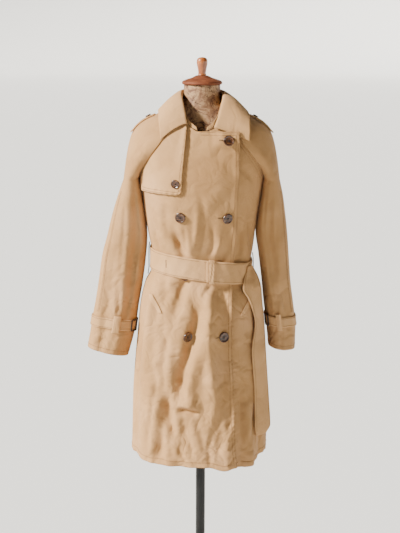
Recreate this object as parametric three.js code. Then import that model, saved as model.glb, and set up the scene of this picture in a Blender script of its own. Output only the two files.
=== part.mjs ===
// A knee length trench coat on a limbless dress form. Millimetres, +Z up, origin in the middle of
// the stand's underside. The coat's front faces -Y, and the wearer's left is +X.
// An angle on the coat is counted from the centre front towards the wearer's left.
import * as THREE from 'three';

// Driving dimensions
const CLOTH = 1.6;                // wall of the coat's panels and sleeves
const DOUBLE_CLOTH = 2.2;         // wall of collar, belt, straps and flap, which are sewn double
const SEAM_GAP = 0.6;             // air between a panel and its sleeve at the raglan seam
const LAY_GAP = 0.5;              // air between a piece and the panel that it lies on
const SLACK = 0.3;                // more air where the surface under a piece is curved
const CLOSE_GAP = 0.3;            // air between the stacked pieces of the form and its stand
const HEM_LEVEL = 440;
const ARMPIT_LEVEL = 1190;
const BELT_LEVEL = 962;
const BELT_TILT = 0.13;           // the belt hangs lower on the wearer's left by this slope
const BELT_REACH = 90;            // how far above and below the belt the tilt fades
const BELT_HEIGHT = 55;
const BELT_OUT = 2.6;             // from the pinched waist to the belt's inner face
const UNDERLAP_X = -45;           // edge of the wearer's left front, under the right one
const SIDE_ANGLE = 89.88;         // side seams, a hair short of the exact side
const CUFF_STRAP_WIDTH = 27;
const BUTTON_DIAMETER = 25;
const FLAP_BUTTON_DIAMETER = 20;
const POLE_DIAMETER = 25;
const BASE_DIAMETER = 320;
const BASE_HEIGHT = 14;
const FORM_FOOT = 700;
const NECK_TOP = 1421;
const FINIAL_TOP = 1489;

// How finely the surfaces are cut into faces
const SIDE_COLUMNS = 11;
const OVERLAP_COLUMNS = 9;
const LEFT_COLUMNS = 6;
const BACK_COLUMNS = 18;
const RAGLAN_ROWS = 7;
const SLEEVE_HALF_COLUMNS = 9;
const LEVELS = [440, 470, 515, 560, 606, 652, 698, 744, 788, 826, 860, 886, 910, 934, 962, 990,
  1014, 1046, 1090, 1140, 1190];

const DEGREE = Math.PI / 180;

const table = (columns, rows) => rows.map(
  (row) => Object.fromEntries(columns.map((name, k) => [name, row[k]])));
const mix = (a, b, t) => a + (b - a) * t;
const shareOf = (a, b, x) => Math.min(1, Math.max(0, (x - a) / (b - a)));
const fade = (a, b, x) => {
  const t = shareOf(a, b, x);
  return t * t * (3 - 2 * t);
};
const hill = (x) => Math.exp(-x * x);
const steps = (count) => Array.from({ length: count + 1 }, (_, k) => k / count);
const vec = (x, y, z) => new THREE.Vector3(x, y, z);

// A curve through a table's rows that never overshoots them
function curve(rows, key, name) {
  const x = rows.map((row) => row[key]);
  const y = rows.map((row) => row[name]);
  const last = x.length - 1;
  const rise = x.slice(1).map((value, k) => (y[k + 1] - y[k]) / (value - x[k]));
  const slope = x.map((_, k) => {
    if (k === 0) return rise[0];
    if (k === last) return rise[last - 1];
    const product = rise[k - 1] * rise[k];
    return product <= 0 ? 0 : (2 * product) / (rise[k - 1] + rise[k]);
  });
  return (at) => {
    const value = Math.min(x[last], Math.max(x[0], at));
    let k = 0;
    while (k < last - 1 && value > x[k + 1]) k += 1;
    const width = x[k + 1] - x[k];
    const t = (value - x[k]) / width;
    const bent = t * t * (3 - 2 * t);
    return mix(y[k], y[k + 1], bent)
      + width * t * (1 - t) * ((1 - t) * slope[k] - t * slope[k + 1]);
  };
}
const curves = (rows, key) => Object.fromEntries(
  Object.keys(rows[0]).map((name) => [name, curve(rows, key, name)]));

// The coat's outline by height: half widths to the wearer's right and left, depths to the front
// and back, and how square each section is (2 is an ellipse)
const torso = curves(table(['level', 'right', 'left', 'front', 'back', 'square'], [
  [430, 184, 172, 142, 130, 2.3],
  [609, 180, 172, 139, 129, 2.3],
  [700, 174, 167, 135, 127, 2.3],
  [765, 168, 163, 131, 124, 2.3],
  [851, 159, 156, 124, 116, 2.3],
  [901, 146, 143, 114, 104, 2.3],
  [932, 130, 129, 105, 92, 2.3],
  [962, 129, 128, 104, 91, 2.3],
  [990, 129.5, 128.5, 104.5, 91, 2.3],
  [1014, 134, 133, 109, 93, 2.3],
  [1086, 145, 143, 119, 101, 2.3],
  [1138, 152, 152, 126, 107, 2.3],
  [1190, 160, 160, 128, 112, 2.3],
  [1216, 166, 166, 126, 113, 2.3],
  [1256, 174, 173, 120, 111, 2.3],
  [1290, 179, 178, 110, 106, 2.3],
  [1311, 172, 172, 99, 99, 2.3],
  [1334, 140, 140, 84, 88, 2.2],
  [1347, 107, 107, 74, 80, 2.1],
  [1368, 66, 66, 56, 66, 2.0],
  [1385, 56, 56, 50, 58, 2.0],
]), 'level');

// How far the hem stands above its level, round the coat
const hem = curves(table(['angle', 'rise'], [
  [-180, 6], [-90, 9], [-40, 3], [-14, -3], [4, -2], [17, -12], [27, -4], [38, -11], [56, 0],
  [90, 8], [135, 3], [180, 6],
]), 'angle');

// The main folds: a ridge has a positive height and a trough a negative one. Each runs from its
// top level to its foot, fading out over the lengths given.
const FOLDS = table(
  ['topAngle', 'footAngle', 'top', 'foot', 'width', 'height', 'fadeTop', 'fadeFoot'], [
    [-31, -17, 1105, 975, 15, -11, 90, 12],
    [-12, -9, 1085, 970, 12, 7, 80, 12],
    [8, 5, 1160, 975, 16, -4, 120, 12],
    [24, 20, 1090, 975, 14, -6, 90, 12],
    [52, 44, 1150, 975, 16, -6, 120, 12],
    [-62, -54, 1130, 975, 16, -6, 120, 12],
    [-20, -34, 936, 660, 20, -17, 10, 190],
    [-5, -3, 936, 520, 19, 13, 60, 260],
    [16, 14, 936, 640, 17, -8, 10, 160],
    [-50, -56, 936, 560, 22, 7, 70, 240],
    [-30, -33, 690, 420, 19, -12, 90, 60],
    [-9, -16, 640, 400, 16, -7, 110, 1],
    [14, 22, 650, 400, 18, 7, 120, 1],
    [27, 10, 700, 470, 11, -7, 90, 60],
    [36, 35, 760, 400, 12, -7, 160, 1],
    [44, 46, 640, 400, 15, 9, 160, 1],
    [62, 66, 900, 400, 20, -7, 90, 1],
    [-72, -70, 900, 400, 22, -7, 120, 1],
    [88, 90, 930, 400, 24, 3, 90, 1],
    [112, 116, 930, 400, 22, -12, 30, 1],
    [138, 136, 930, 400, 22, 9, 60, 1],
    [162, 158, 930, 400, 22, -13, 30, 1],
    [184, 186, 930, 400, 22, 10, 60, 1],
    [208, 210, 930, 400, 22, -12, 30, 1],
    [232, 228, 930, 400, 22, 8, 60, 1],
    [254, 252, 930, 400, 20, -9, 30, 1],
    [150, 156, 1130, 985, 18, -7, 110, 12],
    [180, 180, 1110, 985, 18, 5, 110, 12],
    [208, 203, 1130, 985, 18, -7, 110, 12],
  ]);
const FOLD_RADIUS = 160;          // turns an angle into a length along the cloth
const BELT_GRIP = 40;             // half height of the band where the belt holds the folds flat

function foldHeight(angle, level) {
  let sum = 0;
  for (const fold of FOLDS) {
    if (level >= fold.top || level <= fold.foot) continue;
    const middle = mix(fold.topAngle, fold.footAngle, (fold.top - level) / (fold.top - fold.foot));
    const turn = ((angle - middle + 540) % 360) - 180;
    const across = (turn * DEGREE * FOLD_RADIUS) / fold.width;
    const ends = fade(0, fold.fadeTop, fold.top - level) * fade(0, fold.fadeFoot, level - fold.foot);
    sum += fold.height * ends * hill(across);
  }
  const grip = Math.exp(-(((level - BELT_LEVEL) / BELT_GRIP) ** 4));
  return sum > 0 ? sum * (1 - grip) : sum * (1 - 0.6 * grip);
}

// A point of the coat's outer surface, moved out by a distance
function coat(angle, level, out = 0, folded = true) {
  const sine = Math.sin(angle * DEGREE);
  const cosine = Math.cos(angle * DEGREE);
  const wide = sine < 0 ? torso.right(level) : torso.left(level);
  const deep = cosine > 0 ? torso.front(level) : torso.back(level);
  const power = 2 / torso.square(level);
  const normal = vec(sine / wide, -cosine / deep, 0).normalize();
  const point = vec(
    Math.sign(sine) * wide * Math.abs(sine) ** power,
    -Math.sign(cosine) * deep * Math.abs(cosine) ** power, level);
  const turned = ((angle + 540) % 360) - 180;
  point.z += hem.rise(turned) * (1 - fade(HEM_LEVEL, HEM_LEVEL + 130, level));
  point.z -= BELT_TILT * point.x * hill((level - BELT_LEVEL) / BELT_REACH);
  return point.addScaledVector(normal, (folded ? foldHeight(angle, level) : 0) + out);
}

// The angle of a point that lies x to the side, on the front (face 1) or the back (face -1)
function angleAt(x, level, face = 1) {
  const wide = x < 0 ? torso.right(level) : torso.left(level);
  const share = Math.min(1, Math.abs(x) / wide) ** (torso.square(level) / 2);
  const turn = (Math.sign(x) * Math.asin(share)) / DEGREE;
  return face > 0 ? turn : 180 - turn;
}
const coatAt = (x, level, out = 0, face = 1) => coat(angleAt(x, level, face), level, out);

// A wall: the grid's points are its outer face, rows going up and columns to the wearer's left
// round the front. Rows whose ends meet are joined there. The inner face lies a thickness inside.
function wall(grid, thickness) {
  const points = [];
  const found = new Map();
  const number = (p) => {
    const key = [p.x, p.y, p.z].map((value) => Math.round(value * 1e4)).join();
    if (!found.has(key)) {
      found.set(key, points.length);
      points.push(p);
    }
    return found.get(key);
  };
  const rows = grid.map((row) => row.map(number));
  const faces = [];
  const addFace = (a, b, c) => {
    if (a !== b && b !== c && c !== a) faces.push([a, b, c]);
  };
  for (let i = 0; i + 1 < rows.length; i += 1) {
    for (let j = 0; j + 1 < rows[i].length; j += 1) {
      const [a, b, c, d] = [rows[i][j], rows[i][j + 1], rows[i + 1][j + 1], rows[i + 1][j]];
      if (points[a].distanceTo(points[c]) <= points[b].distanceTo(points[d])) {
        addFace(a, b, c);
        addFace(a, c, d);
      } else {
        addFace(a, b, d);
        addFace(b, c, d);
      }
    }
  }
  const normals = points.map(() => vec(0, 0, 0));
  for (const [a, b, c] of faces) {
    const edge = vec(0, 0, 0).subVectors(points[b], points[a]);
    const area = edge.cross(vec(0, 0, 0).subVectors(points[c], points[a]));
    for (const k of [a, b, c]) normals[k].add(area);
  }
  const inner = points.map((p, k) => p.clone().addScaledVector(normals[k].normalize(), -thickness));
  const count = points.length;
  const all = [...points, ...inner];
  const triangles = [];
  const used = new Set(faces.flatMap(([a, b, c]) => [`${a},${b}`, `${b},${c}`, `${c},${a}`]));
  for (const [a, b, c] of faces) {
    triangles.push(a, b, c, a + count, c + count, b + count);
    for (const [p, q] of [[a, b], [b, c], [c, a]]) {
      if (!used.has(`${q},${p}`)) triangles.push(q, p, p + count, q, p + count, q + count);
    }
  }
  const geometry = new THREE.BufferGeometry();
  geometry.setAttribute('position', new THREE.Float32BufferAttribute(
    all.flatMap((p) => [p.x, p.y, p.z]), 3));
  geometry.setIndex(triangles);
  return geometry;
}

// A flat patch between four border curves, each giving [x, level] for a share from 0 to 1
function patch(side, far, foot, head, s, r) {
  return [0, 1].map((k) => (1 - s) * side(r)[k] + s * far(r)[k] + (1 - r) * foot(s)[k]
    + r * head(s)[k] - (1 - s) * (1 - r) * side(0)[k] - s * (1 - r) * far(0)[k]
    - (1 - s) * r * side(1)[k] - s * r * far(1)[k]);
}

const coatCloth = new THREE.MeshStandardMaterial({ color: 0xcfb08a, roughness: 0.85 });
const horn = new THREE.MeshStandardMaterial({ color: 0x3d3226, roughness: 0.3 });
const buckleCover = new THREE.MeshStandardMaterial({ color: 0x3a241a, roughness: 0.5 });
const thread = new THREE.MeshStandardMaterial({ color: 0x231c18, roughness: 0.9 });
const papierMache = new THREE.MeshStandardMaterial({ color: 0x8a6347, roughness: 0.8 });
const turnedWood = new THREE.MeshStandardMaterial({ color: 0xa0603a, roughness: 0.45 });
const blackSteel = new THREE.MeshStandardMaterial({ color: 0x1c1b1a, metalness: 0.6, roughness: 0.5 });

const trenchCoat = new THREE.Group();
function add(name, geometry, material) {
  const mesh = new THREE.Mesh(geometry, material);
  mesh.name = name;
  trenchCoat.add(mesh);
  return mesh;
}
function turned(profile, segments) {
  const points = profile.map(([radius, height]) => new THREE.Vector2(radius, height));
  return new THREE.LatheGeometry(points, segments).rotateX(Math.PI / 2);
}

// Raglan seams on the wearer's right, from the neck (share 0) to the armpit (share 1). The left
// ones mirror them.
const raglan = curves(table(['share', 'frontX', 'frontZ', 'backX', 'backZ'], [
  [0, 54, 1365, 60, 1367],
  [0.25, 76, 1330, 82, 1335],
  [0.5, 100, 1290, 106, 1296],
  [0.75, 130, 1248, 130, 1250],
  [0.875, 148, 1219, 146, 1221],
  [1, 160, 1190, 160, 1190],
]), 'share');

// The front edge of the wearer's right front, by height
const frontEdge = curves(table(['level', 'x'], [
  [430, 95], [500, 89], [560, 87], [660, 84], [760, 80], [920, 79], [960, 80], [1080, 88],
  [1140, 90], [1200, 93], [1290, 91], [1312, 90],
]), 'level').x;

// Columns shared by the two fronts where they overlap, so that their walls stay parallel
const overlapAngle = (share, level) => mix(
  angleAt(UNDERLAP_X, level), angleAt(frontEdge(level), level), share);

// The top corner of the right front lies over the collar's end, so it stands out a little
const CORNER_LIFT = 9;
const cornerLift = (x, level) => CORNER_LIFT * fade(22, 52, x) * fade(1262, 1292, level);

function borderOf(rows, names) {
  const at = curves(rows, 'share');
  return (share) => names.map((name) => at[name](share));
}

function frontRight() {
  const angles = (level) => [
    ...steps(SIDE_COLUMNS).slice(0, -1).map((s) => mix(-SIDE_ANGLE, angleAt(UNDERLAP_X, level), s)),
    ...steps(OVERLAP_COLUMNS).map((s) => overlapAngle(s, level))];
  const count = SIDE_COLUMNS + OVERLAP_COLUMNS;
  const grid = LEVELS.map((level) => angles(level).map((angle) => coat(angle, level)));
  const footX = angles(ARMPIT_LEVEL).map((angle) => coat(angle, ARMPIT_LEVEL, 0, false).x);
  const side = (r) => [r === 0 ? footX[0] : -raglan.frontX(1 - r), raglan.frontZ(1 - r)];
  const head = borderOf(table(['share', 'x', 'level'], [
    [0, -54, 1365], [0.12, -49, 1352], [0.24, -42, 1338], [0.34, -34, 1328], [0.43, -24, 1319],
    [0.52, -9, 1311.5], [0.7, 30, 1311.5], [0.85, 62, 1312], [1, 90, 1312]]), ['x', 'level']);
  const far = (r) => [frontEdge(mix(ARMPIT_LEVEL, 1312, r)), mix(ARMPIT_LEVEL, 1312, r)];
  const foot = (s) => [footX[Math.round(s * count)], ARMPIT_LEVEL];
  for (const r of steps(RAGLAN_ROWS).slice(1)) {
    grid.push(steps(count).map((s) => {
      const [x, level] = patch(side, far, foot, head, s, r);
      return coatAt(x, level, cornerLift(x, level));
    }));
  }
  return grid;
}

// The wearer's left front runs in under the right one, a little further in
const UNDER_DEPTH = CLOTH + 1.0;
const underOut = (x, level) => -UNDER_DEPTH * (1 - fade(frontEdge(level), frontEdge(level) + 16, x));

function frontLeft() {
  const angles = (level) => {
    const ramp = angleAt(frontEdge(level) + 16, level);
    return [...steps(OVERLAP_COLUMNS).map((s) => overlapAngle(s, level)),
      ...steps(LEFT_COLUMNS).map((s) => mix(ramp, SIDE_ANGLE, s))];
  };
  const count = OVERLAP_COLUMNS + LEFT_COLUMNS + 1;
  const depth = (k) => (k <= OVERLAP_COLUMNS ? -UNDER_DEPTH : 0);
  const grid = LEVELS.map((level) => angles(level).map((angle, k) => coat(angle, level, depth(k))));
  const footX = angles(ARMPIT_LEVEL).map((angle) => coat(angle, ARMPIT_LEVEL, 0, false).x);
  const side = (r) => [UNDERLAP_X, mix(ARMPIT_LEVEL, 1303, r)];
  const head = borderOf(table(['share', 'x', 'level'], [
    [0, -45, 1303], [0.25, -15, 1303], [0.42, 9, 1308], [0.58, 28, 1322], [0.76, 42, 1338],
    [1, 54, 1365]]), ['x', 'level']);
  const far = (r) => [r === 0 ? footX[count] : raglan.frontX(1 - r), raglan.frontZ(1 - r)];
  const foot = (s) => [footX[Math.round(s * count)], ARMPIT_LEVEL];
  for (const r of steps(RAGLAN_ROWS).slice(1)) {
    grid.push(steps(count).map((s) => {
      const [x, level] = patch(side, far, foot, head, s, r);
      return coatAt(x, level, underOut(x, level));
    }));
  }
  return grid;
}

function back() {
  const angles = steps(BACK_COLUMNS).map((s) => mix(180 - SIDE_ANGLE, 180 + SIDE_ANGLE, s));
  const grid = LEVELS.map((level) => angles.map((angle) => coat(angle, level)));
  const footX = angles.map((angle) => coat(angle, ARMPIT_LEVEL, 0, false).x);
  const edge = (sign, end) => (r) => [
    r === 0 ? footX[end] : sign * raglan.backX(1 - r), raglan.backZ(1 - r)];
  const head = borderOf(table(['share', 'x', 'level'], [
    [0, 60, 1367], [0.25, 36, 1370], [0.5, 0, 1371], [0.75, -36, 1370], [1, -60, 1367],
  ]), ['x', 'level']);
  const foot = (s) => [footX[Math.round(s * BACK_COLUMNS)], ARMPIT_LEVEL];
  for (const r of steps(RAGLAN_ROWS).slice(1)) {
    grid.push(steps(BACK_COLUMNS).map((s) => {
      const [x, level] = patch(edge(1, 0), edge(-1, BACK_COLUMNS), foot, head, s, r);
      return coatAt(x, level, 0, -1);
    }));
  }
  return grid;
}

// The shoulder line that a raglan sleeve runs over, and how far the arc round it goes: turn is
// 90 where the sleeve leaves the seam upright and 180 where its section closes under the arm
const shoulder = curves(table(['share', 'x', 'z', 'turn', 'frontBulge', 'backBulge'], [
  [0, 65, 1369, 78, 36, 30],
  [0.125, 90, 1357, 78, 62, 62],
  [0.25, 115, 1346, 80, 76, 80],
  [0.375, 140, 1335, 82, 86, 90],
  [0.5, 162, 1320, 86, 92, 94],
  [0.625, 177, 1300, 94, 92, 92],
  [0.75, 187, 1268, 112, 90, 88],
  [0.875, 194, 1228, 144, 84, 82],
  [1, 200, 1182, 180, 76, 74],
]), 'share');
const RIDGE_Y = 3;

// Sleeves below the armpit: the places of the outer and inner edges, how deep the section is to
// the front and back, and where its middle lies
const SLEEVE_COLUMNS = ['share', 'outerX', 'outerZ', 'innerX', 'innerZ', 'front', 'back', 'middle'];
const rightSleeve = curves(table(SLEEVE_COLUMNS, [
  [0, 200, 1182, 161.4, 1190, 76, 74, 3],
  [0.1, 216, 1136, 156, 1143, 68, 66, 3],
  [0.2, 230, 1090, 150, 1094, 58, 58, 3],
  [0.33, 245, 1030, 147, 1030, 48, 48, 2],
  [0.45, 258, 980, 144, 976, 40, 40, 1],
  [0.6, 268, 912, 153.5, 905, 40, 40, 0],
  [0.72, 277, 858, 163.5, 848, 40, 40, -1],
  [0.82, 286, 812, 170, 800, 39, 39, -2],
  [0.88, 290, 786, 176, 772, 39, 39, -2],
  [1, 299, 737, 192, 714, 41, 41, -3],
]), 'share');
const leftSleeve = curves(table(SLEEVE_COLUMNS, [
  [0, 200, 1182, 161.4, 1190, 76, 74, 3],
  [0.1, 209, 1142, 155, 1148, 72, 70, 3],
  [0.2, 215, 1102, 150, 1106, 66, 64, 3],
  [0.33, 222, 1045, 147.5, 1047, 60, 58, 3],
  [0.45, 227, 988, 148, 988, 55, 55, 4],
  [0.6, 233, 916, 157, 918, 55, 55, 5],
  [0.72, 241, 858, 163, 862, 55, 55, 6],
  [0.82, 247, 812, 169, 818, 54, 54, 6],
  [0.88, 249, 786, 172, 792, 54, 54, 6],
  [1, 248, 735, 177, 742, 55, 55, 6],
]), 'share');

// Long creases in a sleeve: across is the place from its outer edge (0) to its inner edge (1),
// face is 1 on the front and -1 on the back, and depth goes into the sleeve
const CREASE_COLUMNS = ['face', 'top', 'foot', 'acrossTop', 'acrossFoot', 'width', 'depth'];
const rightCreases = table(CREASE_COLUMNS, [
  [1, -0.12, 0.84, 0.5, 0.72, 0.1, 17],
  [1, 0.3, 1.1, 0.28, 0.36, 0.12, 7],
  [-1, 0.1, 0.9, 0.45, 0.5, 0.13, 12],
]);
const leftCreases = table(CREASE_COLUMNS, [
  [1, 0.05, 0.8, 0.62, 0.5, 0.14, 12],
  [1, 0.4, 1.1, 0.3, 0.26, 0.14, 7],
  [-1, 0.1, 0.9, 0.4, 0.5, 0.13, 12],
]);

function creaseDepth(creases, face, share, across) {
  let sum = 0;
  for (const crease of creases) {
    if (crease.face !== face || share <= crease.top || share >= crease.foot) continue;
    const along = (share - crease.top) / (crease.foot - crease.top);
    const middle = mix(crease.acrossTop, crease.acrossFoot, along);
    sum += crease.depth * Math.sin(Math.PI * along) * hill((across - middle) / crease.width);
  }
  return sum * Math.min(1, 6 * across * (1 - across));
}

// A point on a sleeve below the armpit, on its front (face 1) or back (face -1)
function onSleeve(sleeve, creases, share, face, across, out) {
  const deep = face > 0 ? sleeve.front(share) : sleeve.back(share);
  const round = Math.sin(Math.acos(1 - 2 * across));
  const bulge = (deep + out) * round - creaseDepth(creases, face, share, across);
  return vec(
    mix(sleeve.outerX(share) + out, sleeve.innerX(share) - out, across),
    sleeve.middle(share) - face * bulge, mix(sleeve.outerZ(share), sleeve.innerZ(share), across));
}
// Half of a sleeve's ring, from the outer edge round one face to the inner edge
function ringHalf(sleeve, creases, share, face, out) {
  return steps(SLEEVE_HALF_COLUMNS).map((step) => onSleeve(
    sleeve, creases, share, face, (1 - Math.cos(Math.PI * step)) / 2, out));
}
function sleeveRing(sleeve, creases, share, out = 0) {
  const front = ringHalf(sleeve, creases, share, 1, out);
  const rear = ringHalf(sleeve, creases, share, -1, out).reverse();
  return [...rear, ...front.slice(1)];
}

// Half of a row above the armpit, from the shoulder line round to the raglan seam
function capHalf(share, face) {
  const name = face > 0 ? 'front' : 'back';
  const seam = coatAt(raglan[`${name}X`](share) + SEAM_GAP, raglan[`${name}Z`](share), 0, face);
  const end = shoulder.turn(share) * DEGREE;
  const bulge = shoulder[`${name}Bulge`](share);
  const ridge = vec(shoulder.x(share), RIDGE_Y, shoulder.z(share));
  return steps(SLEEVE_HALF_COLUMNS).map((step) => {
    const turn = end * step;
    const part = (1 - Math.cos(turn)) / (1 - Math.cos(end));
    const reach = -face * bulge;
    const miss = seam.y - ridge.y - reach * Math.sin(end);
    return vec(mix(ridge.x, seam.x, part), ridge.y + reach * Math.sin(turn) + miss * part,
      mix(ridge.z, seam.z, part));
  });
}

// The rows of a sleeve below the armpit, which take in the two edges of the cuff strap
const STRAP_TOP = 0.795;
const STRAP_FOOT = 0.855;
const SLEEVE_SHARES = [0, 0.06, 0.13, 0.21, 0.3, 0.39, 0.48, 0.57, 0.65, 0.73, STRAP_TOP,
  STRAP_FOOT, 0.92, 1];

function sleeveGrid(sleeve, creases) {
  const cap = steps(RAGLAN_ROWS).slice(0, -1).map(
    (share) => [...capHalf(share, -1).reverse(), ...capHalf(share, 1).slice(1)]);
  const arm = SLEEVE_SHARES.map((share) => sleeveRing(sleeve, creases, share));
  return [...cap, ...arm].reverse();
}

// A grid is worked out for x counted outward from the middle, and set on the right or left side
const onRight = (grid) => grid.map((row) => row.map((p) => vec(-p.x, p.y, p.z)));
const onLeft = (grid) => grid.map((row) => row.map((p) => p.clone()).reverse());

const SIDES = [
  { name: 'right', place: onRight, sign: -1, sleeve: rightSleeve, creases: rightCreases },
  { name: 'left', place: onLeft, sign: 1, sleeve: leftSleeve, creases: leftCreases },
];

// Form and stand
const form = curves(table(['level', 'side', 'front', 'back'], [
  [700, 146, 94, 92],
  [780, 148, 100, 96],
  [850, 136, 94, 88],
  [901, 122, 86, 80],
  [957, 110, 78, 66],
  [1000, 112, 80, 68],
  [1086, 120, 92, 78],
  [1138, 126, 100, 84],
  [1190, 134, 102, 90],
  [1216, 142, 100, 92],
  [1256, 156, 94, 92],
  [1290, 164, 84, 86],
  [1311, 160, 74, 80],
  [1325.6, 150, 62, 70],
  [1331.6, 140, 59, 66],
  [1343.2, 115, 54, 60],
  [1354.6, 90, 50, 55],
  [1366.6, 65, 48, 51],
  [1376, 52, 46.5, 48],
  [1388, 46, 46, 46],
  [1421, 46, 46, 46],
]), 'level');
const FORM_LEVELS = [700, 780, 840, 901, 957, 1010, 1086, 1150, 1205, 1256, 1290, 1311, 1325.6,
  1331.6, 1343.2, 1354.6, 1366.6, 1376, 1388, NECK_TOP];
const FORM_COLUMNS = 20;

function formSolid() {
  const ring = (level) => steps(FORM_COLUMNS).slice(0, -1).map((s) => {
    const turn = 2 * Math.PI * s;
    const deep = Math.cos(turn) > 0 ? form.front(level) : form.back(level);
    return [form.side(level) * Math.sin(turn), -deep * Math.cos(turn), level];
  });
  const points = [...FORM_LEVELS.flatMap(ring), [0, 0, FORM_FOOT], [0, 0, NECK_TOP]];
  const foot = points.length - 2;
  const head = points.length - 1;
  const triangles = [];
  const at = (i, j) => i * FORM_COLUMNS + (j % FORM_COLUMNS);
  for (let j = 0; j < FORM_COLUMNS; j += 1) {
    for (let i = 0; i + 1 < FORM_LEVELS.length; i += 1) {
      triangles.push(at(i, j), at(i, j + 1), at(i + 1, j + 1));
      triangles.push(at(i, j), at(i + 1, j + 1), at(i + 1, j));
    }
    triangles.push(foot, at(0, j + 1), at(0, j));
    triangles.push(head, at(FORM_LEVELS.length - 1, j), at(FORM_LEVELS.length - 1, j + 1));
  }
  const geometry = new THREE.BufferGeometry();
  geometry.setAttribute('position', new THREE.Float32BufferAttribute(points.flat(), 3));
  geometry.setIndex(triangles);
  return geometry;
}

add('form_torso', formSolid(), papierMache);
add('form_neck_cap', turned([
  [0, NECK_TOP + CLOSE_GAP], [50, NECK_TOP + CLOSE_GAP], [51, 1424], [50, 1429], [42, 1433], [26, 1438],
  [13, 1443.5], [0, 1443.5]], 28), turnedWood);
add('form_finial', turned([
  [0, 1443.8], [11, 1443.8], [10, 1449], [11, 1458], [13, 1468], [14, 1476], [12.5, 1483],
  [8, 1487.5], [0, FINIAL_TOP]], 16), turnedWood);
add('stand_pole', turned([
  [0, BASE_HEIGHT + CLOSE_GAP], [POLE_DIAMETER / 2, BASE_HEIGHT + CLOSE_GAP],
  [POLE_DIAMETER / 2, FORM_FOOT - CLOSE_GAP], [0, FORM_FOOT - CLOSE_GAP]], 20), blackSteel);
add('stand_base', turned([
  [0, 0], [BASE_DIAMETER / 2 - 2, 0], [BASE_DIAMETER / 2, 2], [BASE_DIAMETER / 2, 8],
  [BASE_DIAMETER / 2 - 4, 11], [26, BASE_HEIGHT], [0, BASE_HEIGHT]], 36), blackSteel);

// Panels and sleeves
add('front_right', wall(frontRight(), CLOTH), coatCloth);
add('front_left', wall(frontLeft(), CLOTH), coatCloth);
add('back', wall(back(), CLOTH), coatCloth);
for (const side of SIDES) {
  const grid = side.place(sleeveGrid(side.sleeve, side.creases));
  add(`sleeve_${side.name}`, wall(grid, CLOTH), coatCloth);
}

// Collar: the fall turns over the roll line and ends in the outer edge. Shares run from the
// wearer's right front end round the back of the neck to the left one.
const roll = curves(table(['share', 'x', 'y', 'z', 'edgeX', 'edgeY', 'edgeZ'], [
  [0, -39, -96, 1330, -102, -104, 1291],
  [0.07, -43, -88, 1350, -104, -95, 1312],
  [0.16, -50, -62, 1380, -107, -74, 1339],
  [0.25, -55, -28, 1398, -109, -24, 1357],
  [0.33, -54, 8, 1403, -104, 28, 1354],
  [0.42, -34, 44, 1406, -62, 80, 1349],
  [0.5, 0, 57, 1407, 0, 97, 1343],
  [0.58, 34, 44, 1406, 62, 80, 1349],
  [0.67, 54, 8, 1403, 106, 28, 1354],
  [0.75, 58, -28, 1397, 114, -24, 1356],
  [0.84, 58, -60, 1375, 118, -76, 1336],
  [0.93, 57, -82, 1347, 119, -92, 1308],
  [1, 54, -93, 1320, 119, -94, 1288],
]), 'share');
const COLLAR_COLUMNS = 26;
const COLLAR_STAND_IN = 4.2;       // how far the stand lies inside the roll line
const collarBulge = (s) => 5 * (1 - 0.8 * fade(0.84, 1, s));
const collarHook = (s) => mix(0.25, 1, fade(0, 0.12, s) * fade(1, 0.88, s));

const collarShares = steps(COLLAR_COLUMNS);
const rollPoint = (s) => vec(roll.x(s), roll.y(s), roll.z(s));
const edgePoint = (s) => vec(roll.edgeX(s), roll.edgeY(s), roll.edgeZ(s));
const inward = (p) => vec(-p.x, -p.y - 12, 0).normalize();

function fallColumn(s) {
  const top = rollPoint(s);
  const edge = edgePoint(s);
  const towardNeck = inward(top);
  const away = vec(0, 0, 0).subVectors(edge, top);
  const hinge = away.clone().normalize();
  const raised = vec(0, 0, 1).addScaledVector(hinge, -hinge.z).normalize();
  const leaf = [0.16, 0.4, 0.7, 1].map((t) => top.clone().addScaledVector(away, t)
    .addScaledVector(raised, collarBulge(s) * Math.sin(Math.PI * t ** 0.8)));
  const hook = collarHook(s);
  return [
    ...leaf.reverse(), top.clone(),
    top.clone().addScaledVector(towardNeck, 2.6 * hook).add(vec(0, 0, -1.4 * hook)),
    top.clone().addScaledVector(towardNeck, COLLAR_STAND_IN * hook).add(vec(0, 0, -6 * hook))];
}
function turnGrid(columns) {
  return columns[0].map((_, i) => columns.map((column) => column[i]));
}
add('collar_fall', wall(turnGrid(collarShares.map(fallColumn)), DOUBLE_CLOTH), coatCloth);

// The collar's stand, from the neck seam up to the fall, running on past the fall's front ends
const stand = curves(table(['share', 'x', 'level', 'topX', 'topY', 'topZ'], [
  [0, -11, 1312, -13, -93, 1321],
  [0.07, -27, 1321, -28, -86, 1334],
  [0.14, -41, 1340, -38.5, -76, 1350],
  [0.24, -52, 1359, -47, -50, 1377],
]), 'share');
const STAND_LIFT = 1.2;             // how far the stand's foot keeps off the neck seam
const STAND_DROP = 7.2;             // from the roll line down to the top of the stand
const NECK_SEAM_SIDE = 1369;
const NECK_SEAM_BACK = 1372;
const STAND_ENDS = 0.24;            // share of the stand at each end that lies on the fronts
const STAND_SHARES = [0, 0.07, 0.14, 0.24, 0.31, 0.36, 0.41, 0.45, 0.5, 0.55, 0.59, 0.64, 0.69,
  0.76, 0.86, 0.93, 1];

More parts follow.
